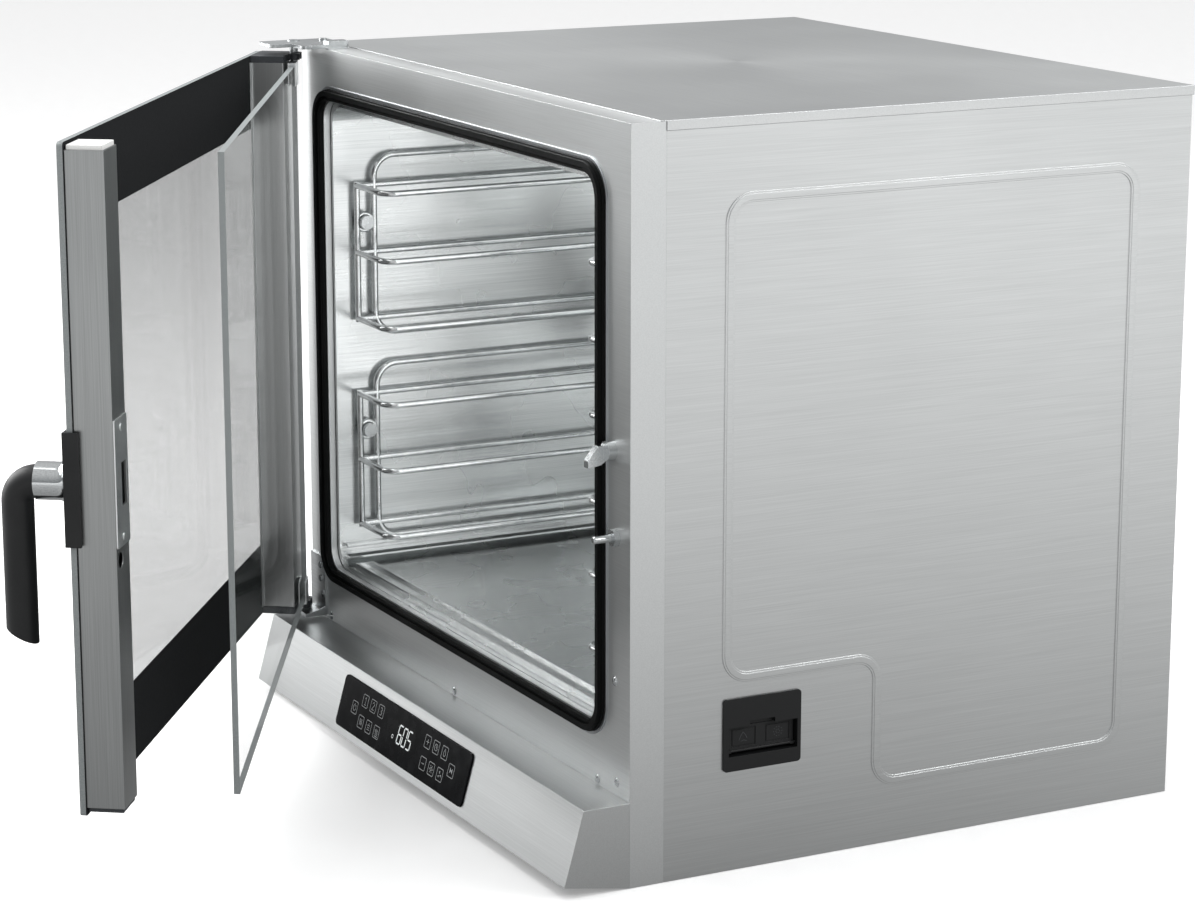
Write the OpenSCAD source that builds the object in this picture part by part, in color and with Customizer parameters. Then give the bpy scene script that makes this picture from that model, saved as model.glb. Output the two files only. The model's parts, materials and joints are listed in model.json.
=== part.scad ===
// Counter-top combi steamer: six-level stainless chamber, side-hung glass door
// with a separate swinging inner pane, control console below the door.
// X runs to the right, Y to the back, Z up. The frame's front face is Y = 0,
// the machine rests on Z = 0 and the door stands part open at rest.
// All sizes are in millimetres.

/* [Overall size] */
// outside width of the casing
body_w = 800; // [700:5:1000]
// depth from the front frame's face to the rear panel
body_d = 650; // [560:5:850]
// height of the casing
body_h = 758; // [680:1:950]
// depth of the front frame's folded sides
frame_t = 38; // [30:1:50]
// thickness of the casing sheet
sheet = 1.5; // [1:0.1:2]

/* [Console] */
// height of the shelf on top of the console
cons_h = 88; // [80:1:110]
// how far the shelf stands out in front of the frame
cons_top = 51; // [40:1:70]
// how far the console's lower edge stands out
cons_low = 72; // [60:1:90]
// height of the console's lower front edge above the rest plane
cons_lift = 12; // [6:1:20]
// width of the touch glass
panel_w = 330; // [260:5:420]
// height of the touch glass along the sloping face
panel_h = 58; // [48:1:62]

/* [Chamber] */
// gasket width across its section
seal_w = 12; // [10:0.5:16]
// how far the gasket stands proud of the frame
seal_out = 9; // [6:0.5:12]
// depth of the service space between the chamber's back wall and the rear panel
service_d = 90; // [86:1:140]
// corner radius of the chamber opening
open_r = 24; // [16:1:40]
// gap between the chamber's lower and upper rack
rack_gap = 88; // [80:1:96]
// diameter of the rack wire
wire_d = 7; // [5:0.5:8]
// how far the rails stand in from the chamber wall
rail_in = 82; // [60:1:95]

/* [Door] */
// opening angle of the door at rest
door_open = 35.2; // [0:0.1:90]
// opening angle of the inner pane at rest
pane_open = 27.7; // [0:0.1:90]
// thickness of the glass panes
glass_t = 6; // [5:0.5:8]
// depth of the two door stiles
stile_t = 38; // [30:1:48]
// width of the latch-side stile
stile_w = 44; // [38:1:55]
// width of the hinge-side stile
hinge_w = 55; // [45:1:60]
// diameter of the door's hinge pins
pin_d = 10; // [8:0.5:12]
// radial play of pins and shafts in their bores
play = 0.05; // [0.02:0.01:0.1]

/* [Handle] */
// height of the handle's turning axis
handle_z = 424; // [380:1:460]
// thickness of the black lever
grip_d = 31; // [24:1:34]
// length of the lever below its axis
grip_len = 160; // [130:1:190]
// length of the steel neck
neck_len = 33; // [24:1:40]
// how much wider than the lever the neck's waist is, on each side
neck_over = 3; // [1:0.5:5]

/* [Fan and heating] */
// diameter of the fan wheel
fan_d = 300; // [240:5:360]
// depth of the fan wheel
fan_h = 54; // [40:1:60]
// number of blades
fan_n = 16; // [8:1:24]
// gap from the fan wheel's rim to the middle of the heater's tube
heat_gap = 23; // [14:1:36]
// gap between the fan wheel's front ring and the baffle
baffle_gap = 12; // [10:1:30]
// diameter of the motor's body
motor_d = 110; // [90:2:130]

/* [Hidden] */
$fn = 48;
xl = -body_w / 2;
xr = body_w / 2;
// gasket outline on the frame
gx0 = xl + 44;
gx1 = xr - 50;
gz0 = cons_h + 52;
gz1 = body_h - 45;
// inside faces of the chamber
lx0 = gx0 + 20;
lx1 = gx1 - 20;
lz0 = gz0 + 20;
lz1 = gz1 - 20;
cx = (lx0 + lx1) / 2;
cz = (lz0 + lz1) / 2;
wall = 1.5;
back_y = body_d - service_d;
baffle_y = back_y - 24 - fan_h - baffle_gap;
// rack levels: three rails to a rack, two racks to a side
pitch = (lz1 - lz0 - 60 - rack_gap) / 5;
rail_z = lz0 + 45;
top_rail_z = rail_z + 2 * pitch + rack_gap;
// console slope
cons_a = atan((cons_low - cons_top) / (cons_h - 1 - cons_lift));
cons_l = (cons_h - 1 - cons_lift) / cos(cons_a);
// door axis and door outline measured along the door from that axis
px = xl + 12;
py = -16;
free_s = body_w - 24;
dz0 = cons_h + 11;
dz1 = body_h - 9;
sz0 = dz0 + 8;
sz1 = dz1 - 7;
in_n = -2;
out_n = in_n - stile_t;
stile_s1 = free_s - 2;
stile_s0 = stile_s1 - stile_w;
axis_s = (stile_s0 + stile_s1) / 2;
// inner pane axis in the door's own measure
pane_s = 12;
pane_n = 3;
pane_l = body_w - 72;
pz0 = sz0 + 7;
pz1 = sz1 - 5;
// catch and switch on the frame
catch_x = px + axis_s;
switch_x = px + axis_s + 8;
switch_z = handle_z - 73;
// service hatch
hy0 = 104;
hy1 = 193;
hz0 = cons_h + 16;
hz1 = hz0 + 75;
// height of the step in the side rib, above the hatch
rib_step = hz1 + 21;
// rear equipment
vent_x = cx - 200;
vent_z = lz1 + 30;
heat_r = fan_d / 2 + heat_gap;
heater_ends = [cx - 21, cx + 21];
feed_x = cx - heat_r - 24;
drain_y = 300;
blow_x = xl + 90;
blow_z = 60;
// screws and studs: X and Z on the front and the back, Y and Z on the chamber's sides
fascia_at = [[xl + 55, cons_h + 5.5], [-6, cons_h + 5.5], [xr - 68, cons_h + 5.5],
  [xr - 27, cons_h + 14], [xr - 31, cons_h + 117]];
low_screw_at = [[px + 20, dz0 + 51], [px + 20, dz0 + 35], [px + 26, dz0 + 18]];
rear_screw_at = [for (x = [xl + 16, 0, xr - 16], z = [24, body_h - 26]) [x, z],
  [xl + 16, body_h / 2], [xr - 16, body_h / 2]];
baffle_screw_at = [for (x = [lx0 + 28, lx1 - 28], z = [lz0 + 40, lz1 - 40]) [x, z]];
stud_at = [for (y = [42, baffle_y - 33],
  z = [rail_z + 1.45 * pitch, top_rail_z + 1.45 * pitch]) [y, z]];

module box(x0, x1, y0, y1, z0, z1) {
  translate([x0, y0, z0]) cube([x1 - x0, y1 - y0, z1 - z0]);
}

module cyl_x(y, z, x0, x1, r) {
  translate([x0, y, z]) rotate([0, 90, 0]) cylinder(h = x1 - x0, r = r);
}

module cyl_y(x, z, y0, y1, r) {
  translate([x, y1, z]) rotate([90, 0, 0]) cylinder(h = y1 - y0, r = r);
}

module cyl_z(x, y, z0, z1, r) {
  translate([x, y, z0]) cylinder(h = z1 - z0, r = r);
}

// flat shape drawn in X and Z, made t deep from y0 towards the back
module slab_y(y0, t) {
  translate([0, y0 + t, 0]) rotate([90, 0, 0]) linear_extrude(t) children();
}

// flat shape drawn in Y and Z, made t thick from x0 towards the right
module slab_x(x0, t) {
  translate([x0, 0, 0]) rotate([90, 0, 90]) linear_extrude(t) children();
}

module rrect(x0, x1, y0, y1, r) {
  translate([x0 + r, y0]) square([x1 - x0 - 2 * r, y1 - y0]);
  translate([x0, y0 + r]) square([x1 - x0, y1 - y0 - 2 * r]);
  for (x = [x0 + r, x1 - r], y = [y0 + r, y1 - r]) translate([x, y]) circle(r);
}

module ring2d(x0, x1, y0, y1, r, w) {
  difference() {
    rrect(x0, x1, y0, y1, r);
    rrect(x0 + w, x1 - w, y0 + w, y1 - w, max(r - w, 0.5));
  }
}

// quarter ring in 2D around (x, y), from angle a to a + 90
module quarter(x, y, r, w, a) {
  translate([x, y]) rotate(a) intersection() {
    difference() {
      circle(r + w / 2);
      circle(r - w / 2);
    }
    square(r + w);
  }
}

// quarter of a bent round bar of radius r around an axis, drawn in the XY plane
module bend(bend_r, r) {
  rotate_extrude(angle = 90) translate([bend_r, 0]) circle(r);
}

// screw with a domed head facing -Y
module dome_screw(x, z, y, r) {
  translate([x, y, z]) rotate([90, 0, 0]) intersection() {
    translate([0, 0, -r * 0.75]) sphere(r * 1.25);
    cylinder(h = r, r = r);
  }
  cyl_y(x, z, y, y + 8, r * 0.5);
}

// screw with a domed head facing +X (side = 1) or -X (side = -1)
module side_screw(y, z, x, side) {
  translate([x, y, z]) rotate([0, 90 * side, 0]) {
    cylinder(h = 1.6, r1 = 4, r2 = 3);
    translate([0, 0, -8]) cylinder(h = 8.2, r = 2);
  }
}

module on_console() {
  translate([0, -cons_low, cons_lift]) rotate([-cons_a, 0, 0]) children();
}

module on_door() {
  translate([px, py, 0]) rotate([0, 0, -door_open]) children();
}

module on_pane() {
  on_door() translate([pane_s, pane_n, 0]) rotate([0, 0, door_open - pane_open]) children();
}

// ---------------------------------------------------------------- casing

module front_frame() color("#c2c3c2") {
  difference() {
    slab_y(0, sheet) difference() {
      translate([xl, 0]) square([body_w, body_h - 1]);
      rrect(gx0 + seal_w + 2, gx1 - seal_w - 2, gz0 + seal_w + 2, gz1 - seal_w - 2, open_r);
      translate([xl + 20, 14]) square([body_w - 40, cons_h - 30]);
    }
    frame_holes();
  }
  box(xl, xl + sheet, sheet, frame_t, 0, body_h - 1);
  box(xr - sheet, xr, sheet, frame_t, 0, body_h - 1);
  difference() {
    box(xl + sheet, xr - sheet, sheet, frame_t, body_h - 1 - sheet, body_h - 1);
    hinge_screw_holes();
  }
  box(xl + sheet, xr - sheet, sheet, frame_t, 0, sheet);
  // rear folds that the casing panels are screwed to
  for (x = [xl + sheet, xr - sheet - 14])
    difference() {
      box(x, x + 14, frame_t - sheet, frame_t, sheet, body_h - 1 - sheet);
      for (z = [60, body_h / 2, body_h - 60]) cyl_y(x + 7, z, frame_t - 4, frame_t + 1, 2);
    }
  // rim turned inwards round the opening
  slab_y(sheet, 6) ring2d(gx0 + seal_w + 0.5, gx1 - seal_w - 0.5,
    gz0 + seal_w + 0.5, gz1 - seal_w - 0.5, open_r + 1.5, 1.5);
}

module frame_holes() {
  cyl_y(catch_x, handle_z + 12, -1, 3, 5.1);
  cyl_y(switch_x, switch_z, -1, 3, 6.1);
  for (p = fascia_at) cyl_y(p[0], p[1], -1, 3, 2.6);
  for (p = low_screw_at) cyl_y(p[0], p[1], -1, 3, 2.6);
}

module hinge_screw_holes() for (x = [px + 10, px + 36]) cyl_z(x, 16, body_h - 4, body_h + 5, 2.6);

module chamber_liner() color("#d2d4d5") difference() {
  union() {
    slab_y(8, back_y - 8) difference() {
      rrect(lx0 - wall, lx1 + wall, lz0 - wall, lz1 + wall, open_r + wall);
      rrect(lx0, lx1, lz0, lz1, open_r);
    }
    // ledges pressed lengthwise into the lower corners
    for (x = [lx0, lx1 - 9]) box(x, x + 9, 14, back_y, lz0 + 19, lz0 + 22);
    for (x = [lx0, lx1 - 18]) box(x, x + 18, 14, back_y, lz0 + 7, lz0 + 9);
    // back wall
    slab_y(back_y - wall, wall) rrect(lx0 - wall, lx1 + wall, lz0 - wall, lz1 + wall, open_r);
    // front flange behind the frame
    slab_y(8, wall) ring2d(lx0 - 16, lx1 + 16, lz0 - 16, lz1 + 16, open_r + 12, 16);
  }
  // shaft, heater ends, nozzle and probe
  cyl_y(cx, cz, back_y - 5, back_y + 5, 16);
  for (x = heater_ends) cyl_y(x, cz + heat_r + 24, back_y - 5, back_y + 5, 5);
  cyl_y(feed_x, cz, back_y - 5, back_y + 5, 3.4);
  cyl_x(back_y - 40, lz1 - 70, lx1 - 5, lx1 + 5, 3.1);
  cyl_z(cx, drain_y, lz0 - 5, lz0 + 5, 34);
  cyl_z(vent_x, back_y - 130, lz1 - 5, lz1 + 5, 20.2);
  cyl_z(cx + 170, 250, lz1 - 5, lz1 + 5, 32);
  for (s = stud_at) cyl_x(s[0], s[1], lx0 - 5, lx0 + 1, 3.1);
  for (s = stud_at) cyl_x(s[0], s[1], lx1 - 1, lx1 + 5, 3.1);
}

module threshold_channel() color("#b9bcbe") difference() {
  box(cx - 300, cx + 300, 14, 36, lz0 + 0.1, lz0 + 5);
  box(cx - 297, cx + 297, 17, 33, lz0 + 1.6, lz0 + 6);
}

module door_gasket() color("#1e1f20") {
  slab_y(-seal_out * 0.55, seal_out * 0.55) ring2d(gx0, gx1, gz0, gz1, 36, seal_w);
  slab_y(-seal_out, seal_out * 0.45) ring2d(gx0 + 1.5, gx1 - 1.5, gz0 + 1.5, gz1 - 1.5, 34.5, 6);
  slab_y(-seal_out * 0.75, seal_out * 0.2)
    ring2d(gx0 + 9, gx1 - 9, gz0 + 9, gz1 - 9, 27, 2.4);
}

module gasket_retainer() color("#9fa2a4") slab_y(-2, 2)
  ring2d(gx0 - 3.2, gx1 + 3.2, gz0 - 3.2, gz1 + 3.2, 39.2, 3);

// closed stiffening rib, drawn in Y and Z, with a step at its lower front
module rib_line(y0, y1, z0, z1, ys, zs, r, w) {
  h = w / 2;
  translate([y0 + r, z1 - h]) square([y1 - y0 - 2 * r, w]);
  translate([y1 - h, z0 + r]) square([w, z1 - z0 - 2 * r]);
  translate([ys + r, z0 - h]) square([y1 - ys - 2 * r, w]);
  translate([y0 - h, zs + r]) square([w, z1 - zs - 2 * r]);
  quarter(y1 - r, z1 - r, r, w, 0);
  quarter(y0 + r, z1 - r, r, w, 90);
  quarter(y0 + r, zs + r, r, w, 180);
  quarter(y1 - r, z0 + r, r, w, 270);
  quarter(ys + r, z0 + r, r, w, 180);
  translate([ys - h, z0 + r]) square([w, zs - z0 - 2 * r]);
  quarter(ys - r, zs - r, r, w, 0);
  translate([y0 + r, zs - h]) square([ys - y0 - 2 * r, w]);
}

module side_sheet() {
  union() {
    box(xr - sheet, xr, frame_t, body_d, 0, body_h - 10);
    slab_x(xr, 1.8) rib_line(108, body_d - 68, 66, body_h - 79, 283, rib_step, 24, 6);
    slab_x(xr, 1.1) rib_line(108, body_d - 68, 66, body_h - 79, 283, rib_step, 24, 10);
    box(xr - 14, xr - sheet, frame_t, body_d - 2, 2, 2 + sheet);
    box(xr - 12, xr - sheet, body_d - 4, body_d - 2.5, 5, body_h - 12);
  }
}

module side_panel_right() color("#bfc1c1") difference() {
  side_sheet();
  box(xr - 3, xr + 3, hy0 + 3, hy1 - 3, hz0 + 3, hz1 - 3);
}

module side_panel_left() color("#bfc1c1") mirror([1, 0, 0]) side_sheet();

module top_cover() color("#b6b8b8") {
  box(xl - 1, xr + 1, frame_t, body_d + 2, body_h - sheet, body_h);
  for (x = [xl - 1, xr + 0.1]) box(x, x + 0.9, frame_t, body_d + 2, body_h - 10, body_h - sheet);
  box(xl - 0.1, xr + 0.1, body_d + 0.6, body_d + 2, body_h - 10, body_h - sheet);
  box(xl, xr, frame_t - 6, frame_t, body_h - 1 + 0.05, body_h);
}

module rear_panel() color("#a9abac") difference() {
  union() {
    box(xl + 1.5, xr - 1.5, body_d - 1.5, body_d, 4, body_h - 12);
    // raised border
    slab_y(body_d, 1.2) ring2d(xl + 30, xr - 30, 30, body_h - 40, 18, 8);
  }
  // air slots
  for (i = [0:11]) for (x = [xl + 180, xr - 260])
    slab_y(body_d - 4, 8) translate([x, 240 + i * 16]) {
      square([80, 5]);
    }
  // cooling fan intake
  for (i = [0:3]) slab_y(body_d - 4, 8) difference() {
    translate([blow_x, blow_z]) circle(13 + i * 8);
    translate([blow_x, blow_z]) circle(8 + i * 8);
    translate([blow_x - 45, blow_z - 2]) square([90, 4]);
    translate([blow_x - 2, blow_z - 45]) square([4, 90]);
  }
  cyl_y(xr - 80, 60, body_d - 4, body_d + 4, 16.1);
  cyl_y(feed_x, 62, body_d - 4, body_d + 4, 13.6);
  cyl_y(cx, 66, body_d - 4, body_d + 4, 19.4);
  cyl_y(vent_x, vent_z, body_d - 4, body_d + 4, 20.2);
  for (p = rear_screw_at) cyl_y(p[0], p[1], body_d - 4, body_d + 4, 2.1);
}

module base_plate() color("#9c9ea0") difference() {
  union() {
    box(xl + 1.6, xr - 1.6, frame_t + 0.1, body_d - 4.6, 0, 1.5);
    for (x = [xl + 16, xr - 17.5]) box(x, x + 1.5, frame_t + 4, body_d - 8, 1.5, 22);
    for (x = [xl + 70, xr - 70], y = [90, body_d - 70]) cyl_z(x, y, 1.5, 16, 11);
  }
  for (x = [xl + 70, xr - 70], y = [90, body_d - 70]) cyl_z(x, y, -1, 17, 5.5);
}

module insulation() color("#d8c98a") difference() {
  box(lx0 - 34, lx1 + 34, 42, back_y + 34, lz0 - 34, lz1 + 34);
  box(lx0 - 1.7, lx1 + 1.7, 40, back_y + 0.2, lz0 - 1.7, lz1 + 1.7);
  cyl_y(cx, cz, back_y - 1, back_y + 40, motor_d / 2 + 6);
  box(cx - 32, cx + 32, back_y + 26, back_y + 40, cz, cz + motor_d / 2 + 24);
  box(heater_ends[0] - 12, heater_ends[1] + 12, back_y - 1, back_y + 40,
    cz + heat_r + 10, cz + heat_r + 50);
  cyl_y(feed_x, cz, back_y - 1, back_y + 40, 10);
  cyl_x(back_y - 40, lz1 - 70, lx1 - 1, lx1 + 40, 12);
  cyl_z(cx, drain_y, lz0 - 40, lz0 + 1, 38);
  box(vent_x - 66, vent_x + 24, back_y - 156, back_y + 40, lz1 - 1, lz1 + 40);
  box(cx + 128, cx + 212, 208, 292, lz1 - 1, lz1 + 40);
  for (s = stud_at) cyl_x(s[0], s[1], lx0 - 40, lx0 + 1, 6);
  for (s = stud_at) cyl_x(s[0], s[1], lx1 - 1, lx1 + 40, 6);
}

module casing_screws() color("#8d9092") {
  for (p = rear_screw_at) {
    cyl_y(p[0], p[1], body_d - 6, body_d + 0.2, 2);
    translate([p[0], body_d, p[1]]) rotate([-90, 0, 0]) cylinder(h = 1.8, r1 = 4, r2 = 3);
  }
}

// ---------------------------------------------------------------- console

module control_console() color("#a7a9aa") difference() {
  slab_x(xl, body_w) polygon([[0, 0], [-cons_low, cons_lift], [-cons_top, cons_h - 1],
    [-cons_top + 0.6, cons_h], [0, cons_h]]);
  slab_x(xl + sheet, body_w - 2 * sheet) polygon([[1, 1.6], [-cons_low + 1.8, cons_lift + 1.3],
    [-cons_top + 1.4, cons_h - 1.6], [1, cons_h - 1.6]]);
  // seat of the touch glass and the window behind it
  on_console() translate([0, 1.2, 0]) rotate([90, 0, 0]) linear_extrude(6)
    rrect(-panel_w / 2 - 6.2, panel_w / 2 - 5.8, 8.8, 9.2 + panel_h, 6.2);
  on_console() box(-panel_w / 2 + 6, panel_w / 2 - 18, -1, 5, 16, 2 + panel_h);
}

module control_glass() color("#131415") on_console() translate([0, 1, 0]) rotate([90, 0, 0])
  linear_extrude(3) rrect(-panel_w / 2 - 6, panel_w / 2 - 6, 9, 9 + panel_h, 6);

module control_board() color("#2f5d3a") on_console() {
  box(-panel_w / 2 + 12, panel_w / 2 - 24, 12, 13.6, 18, panel_h);
  box(-24, 22, 3.2, 12, 26, 51);
  for (x = [-panel_w / 2 + 20, panel_w / 2 - 32], z = [22, panel_h - 4])
    translate([x, 12, z]) rotate([90, 0, 0]) cylinder(h = 10.8, r = 2.5);
  box(60, 110, 13.6, 22, 24, 40);
  box(-110, -80, 13.6, 18, 24, 50);
}

module fascia_screws() color("#b4b7b9") for (p = fascia_at) dome_screw(p[0], p[1], 0, 5);

// ---------------------------------------------------------------- electrics

module power_board() color("#2b5a34") {
  board_parts();
  difference() {
    union() {
      box(xr - 290, xr - 70, 200, 400, 16, 17.6);
      for (x = [xr - 280, xr - 80], y = [210, 390]) cyl_z(x, y, 1.5, 16, 4);
    }
    for (x = [xr - 280, xr - 80], y = [210, 390]) cyl_z(x, y, 12, 18, 1.5);
  }
}

module board_parts() {
  for (i = [0:3]) box(xr - 276 + i * 34, xr - 248 + i * 34, 300, 330, 17.6, 36);
  for (i = [0:1]) cyl_z(xr - 120 + i * 22, 250, 17.6, 50, 9);
  box(xr - 230, xr - 160, 220, 270, 17.6, 62);
  box(xr - 110, xr - 84, 340, 380, 17.6, 30);
  for (i = [0:5]) box(xr - 270 + i * 18, xr - 258 + i * 18, 372, 384, 17.6, 30);
}

module switchgear() color("#4a4d50") {
  terminal_block();
  box(xr - 290, xr - 70, 470, 505, 1.5, 9);
  for (i = [0:2]) {
    box(xr - 284 + i * 60, xr - 234 + i * 60, 452, 522, 9, 78);
    box(xr - 280 + i * 60, xr - 238 + i * 60, 466, 508, 78, 92);
    for (k = [0:2]) cyl_z(xr - 275 + i * 60 + k * 16, 458, 78, 80, 4);
  }
}

module terminal_block() difference() {
  box(xr - 190, xr - 100, 560, 590, 1.5, 34);
  for (i = [0:4]) cyl_z(xr - 181 + i * 18, 575, 20, 36, 4);
}

module cable_gland() color("#2a2c2e") difference() {
  union() {
    cyl_y(xr - 80, 60, body_d - 12, body_d + 2, 16);
    cyl_y(xr - 80, 60, body_d, body_d + 6, 19);
    translate([xr - 80, body_d + 6, 60]) rotate([-90, 0, 0]) cylinder(h = 16, r1 = 17, r2 = 13);
    translate([xr - 80, body_d - 2, 60]) rotate([90, 0, 0]) cylinder(h = 6, r = 20, $fn = 6);
  }
  cyl_y(xr - 80, 60, body_d - 20, body_d + 40, 8);
}

module cooling_fan() color("#26282a") {
  difference() {
    box(blow_x - 40, blow_x + 40, body_d - 27, body_d - 1.6, blow_z - 40, blow_z + 40);
    cyl_y(blow_x, blow_z, body_d - 30, body_d + 2, 37.5);
    for (x = [-35, 35], z = [-35, 35])
      cyl_y(blow_x + x, blow_z + z, body_d - 30, body_d + 2, 2.2);
  }
  difference() {
    union() {
      cyl_y(blow_x, blow_z, body_d - 27, body_d - 23, 16);
      for (a = [0, 90, 180, 270]) translate([blow_x, body_d - 26.4, blow_z])
        rotate([0, a + 45, 0]) translate([10, 0, -2]) cube([32, 3, 4]);
    }
    cyl_y(blow_x, blow_z, body_d - 30, body_d - 20, 3 + play);
  }
}

module cooling_wheel() color("#34373a") {
  cyl_y(blow_x, blow_z, body_d - 22, body_d - 5, 14);
  cyl_y(blow_x, blow_z, body_d - 28, body_d - 22, 3);
  for (i = [0:6]) translate([blow_x, body_d - 13.5, blow_z]) rotate([0, i * 360 / 7, 0])
    translate([12, 0, 0]) rotate([32, 0, 0]) translate([0, -1, -10]) cube([23, 2, 20]);
}

// ---------------------------------------------------------------- racks

// one wire rack against the left wall, lowest rail at height z
module rack_at(z) {
  w = wire_d / 2;
  xp = lx0 + 5 + w;
  y0 = 54;
  y1 = baffle_y - 10;
  zb = z - 18;
  zt = z + 2 * pitch + 33;
  // outer loop with rounded corners
  for (y = [y0, y1]) cyl_z(xp, y, zb + 25, zt - 25, w);
  for (h = [zb, zt]) translate([xp, y0 + 25, h]) rotate([-90, 0, 0])
    cylinder(h = y1 - y0 - 50, r = w);
  translate([xp, y1 - 25, zt - 25]) rotate([90, 0, 90]) bend(25, w);
  translate([xp, y0 + 25, zt - 25]) rotate([0, 0, 0]) rotate([90, 0, 90]) rotate([0, 0, 90])
    bend(25, w);
  translate([xp, y0 + 25, zb + 25]) rotate([90, 0, 90]) rotate([0, 0, 180]) bend(25, w);
  translate([xp, y1 - 25, zb + 25]) rotate([90, 0, 90]) rotate([0, 0, 270]) bend(25, w);
  // front and rear uprights that carry the rails, hooked round the studs
  for (y = [33, y1 - 14]) cyl_z(xp, y, z - w, z + 2 * pitch + w, w);
  for (k = [0:2]) cyl_y(xp, z + k * pitch, 33, y1, w);
  for (k = [0:2]) rail_u(xp, z + k * pitch, 33, y1 - 14, w);
  for (y = [42, baffle_y - 33]) translate([xp, y, z + 1.45 * pitch]) rotate([0, 90, 0])
    rotate_extrude() translate([9.4, 0]) circle(w * 0.8);
}

// one U-shaped rail standing in from the rack plane
module rail_u(xp, z, y0, y1, w) {
  r = 16;
  xe = xp + rail_in - w;
  for (y = [y0, y1]) cyl_x(y, z, xp, xe - r, w);
  cyl_y(xe, z, y0 + r, y1 - r, w);
  translate([xe - r, y1 - r, z]) bend(r, w);
  translate([xe - r, y0 + r, z]) rotate([0, 0, -90]) bend(r, w);
}

module right_side() {
  translate([2 * cx, 0, 0]) mirror([1, 0, 0]) children();
}

module rack_lower_left() color("#c9cbcc") rack_at(rail_z);
module rack_upper_left() color("#c9cbcc") rack_at(top_rail_z);
module rack_lower_right() color("#c9cbcc") right_side() rack_at(rail_z);
module rack_upper_right() color("#c9cbcc") right_side() rack_at(top_rail_z);

module stud_set() {
  for (s = stud_at) {
    cyl_x(s[0], s[1], lx0 - 6, lx0 + 14, 3);
    cyl_x(s[0], s[1], lx0, lx0 + 3.6, 5.5);
    cyl_x(s[0], s[1], lx0 + 13, lx0 + 18, 8);
  }
}

module rack_studs() color("#a2a5a7") {
  stud_set();
  right_side() stud_set();
}

// ---------------------------------------------------------------- fan, heat

module fan_baffle() color("#cfd1d2") {
  difference() {
    slab_y(baffle_y, 1.5) rrect(lx0 + 14, lx1 - 14, lz0 + 14, lz1 - 14, 12);
    slab_y(baffle_y - 1, 4) translate([cx, cz]) circle(112);
    for (x = [cx - 250, cx + 190], i = [0:7]) slab_y(baffle_y - 1, 4)
      translate([x, cz - 180 + i * 48]) square([60, 10]);
    for (p = baffle_screw_at) cyl_y(p[0], p[1], baffle_y - 1, baffle_y + 3, 4.2);
  }
  // rim folded back
  slab_y(baffle_y + 1.5, 16) ring2d(lx0 + 14, lx1 - 14, lz0 + 14, lz1 - 14, 12, 1.5);
  // wire guard over the intake
  for (r = [28, 56, 84, 112]) translate([cx, baffle_y + 3, cz]) rotate([90, 0, 0])
    rotate_extrude() translate([r, 0]) circle(1.8);
  for (a = [45, 135, 225, 315]) translate([cx, baffle_y + 3, cz]) rotate([0, a, 0])
    translate([20, 0, 0]) rotate([0, 90, 0]) cylinder(h = 95, r = 2);
  // brackets to the chamber's back wall
  for (x = [lx0 + 20, lx1 - 40], z = [lz0 + 60, lz1 - 80])
    box(x, x + 20, baffle_y + 1.5, back_y - wall, z, z + 2);
}

module baffle_screws() color("#b9bcbe") for (p = baffle_screw_at) {
  cyl_y(p[0], p[1], baffle_y - 3, baffle_y, 9);
  cyl_y(p[0], p[1], baffle_y, baffle_y + 6, 4);
  box(p[0] - 8, p[0] + 8, baffle_y - 9, baffle_y - 3, p[1] - 1.5, p[1] + 1.5);
}

module fan_wheel() color("#c4c7c9") {
  difference() {
    cyl_y(cx, cz, back_y - 22, back_y - 20, fan_d / 2);
    for (i = [0:5]) translate([cx, 0, cz]) rotate([0, i * 60 + 15, 0])
      translate([70, 0, 0]) cyl_y(0, 0, back_y - 24, back_y - 18, 10);
  }
  for (i = [0:fan_n - 1]) translate([cx, back_y - 22 - fan_h, cz])
    rotate([0, i * 360 / fan_n, 0]) translate([fan_d / 2 - 46, 0, 0]) rotate([0, 28, 0])
      cube([44, fan_h, 2]);
  slab_y(back_y - 24 - fan_h, 2) difference() {
    translate([cx, cz]) circle(fan_d / 2);
    translate([cx, cz]) circle(fan_d / 2 - 16);
  }
  cyl_y(cx, cz, back_y - 46, back_y - 20, 17);
  cyl_y(cx, cz, back_y - 52, back_y - 46, 11);
  cyl_y(cx, cz, back_y - 20, back_y + 74, 7);
}

module shaft_seal() color("#b08a5a") difference() {
  union() {
    cyl_y(cx, cz, back_y - 8, back_y + 8, 15.9);
    cyl_y(cx, cz, back_y, back_y + 3, 26);
  }
  cyl_y(cx, cz, back_y - 10, back_y + 10, 7 + play);
}

module fan_motor() color("#5d6164") difference() {
  union() {
    cyl_y(cx, cz, back_y + 16, back_y + 20, motor_d / 2 + 4);
    cyl_y(cx, cz, back_y + 20, back_y + 74, motor_d / 2);
    for (i = [0:5]) cyl_y(cx, cz, back_y + 26 + i * 8, back_y + 29 + i * 8, motor_d / 2 + 4);
    cyl_y(cx, cz, back_y + 8.2, back_y + 16, 24);
    for (a = [45, 135, 225, 315]) translate([cx, 0, cz]) rotate([0, a, 0])
      translate([48, 0, 0]) cyl_y(0, 0, back_y, back_y + 16, 5);
    box(cx - 30, cx + 30, back_y + 30, back_y + 66, cz + motor_d / 2 - 4, cz + motor_d / 2 + 22);
  }
  cyl_y(cx, cz, back_y + 6, back_y + 76, 7 + play);
}

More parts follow.
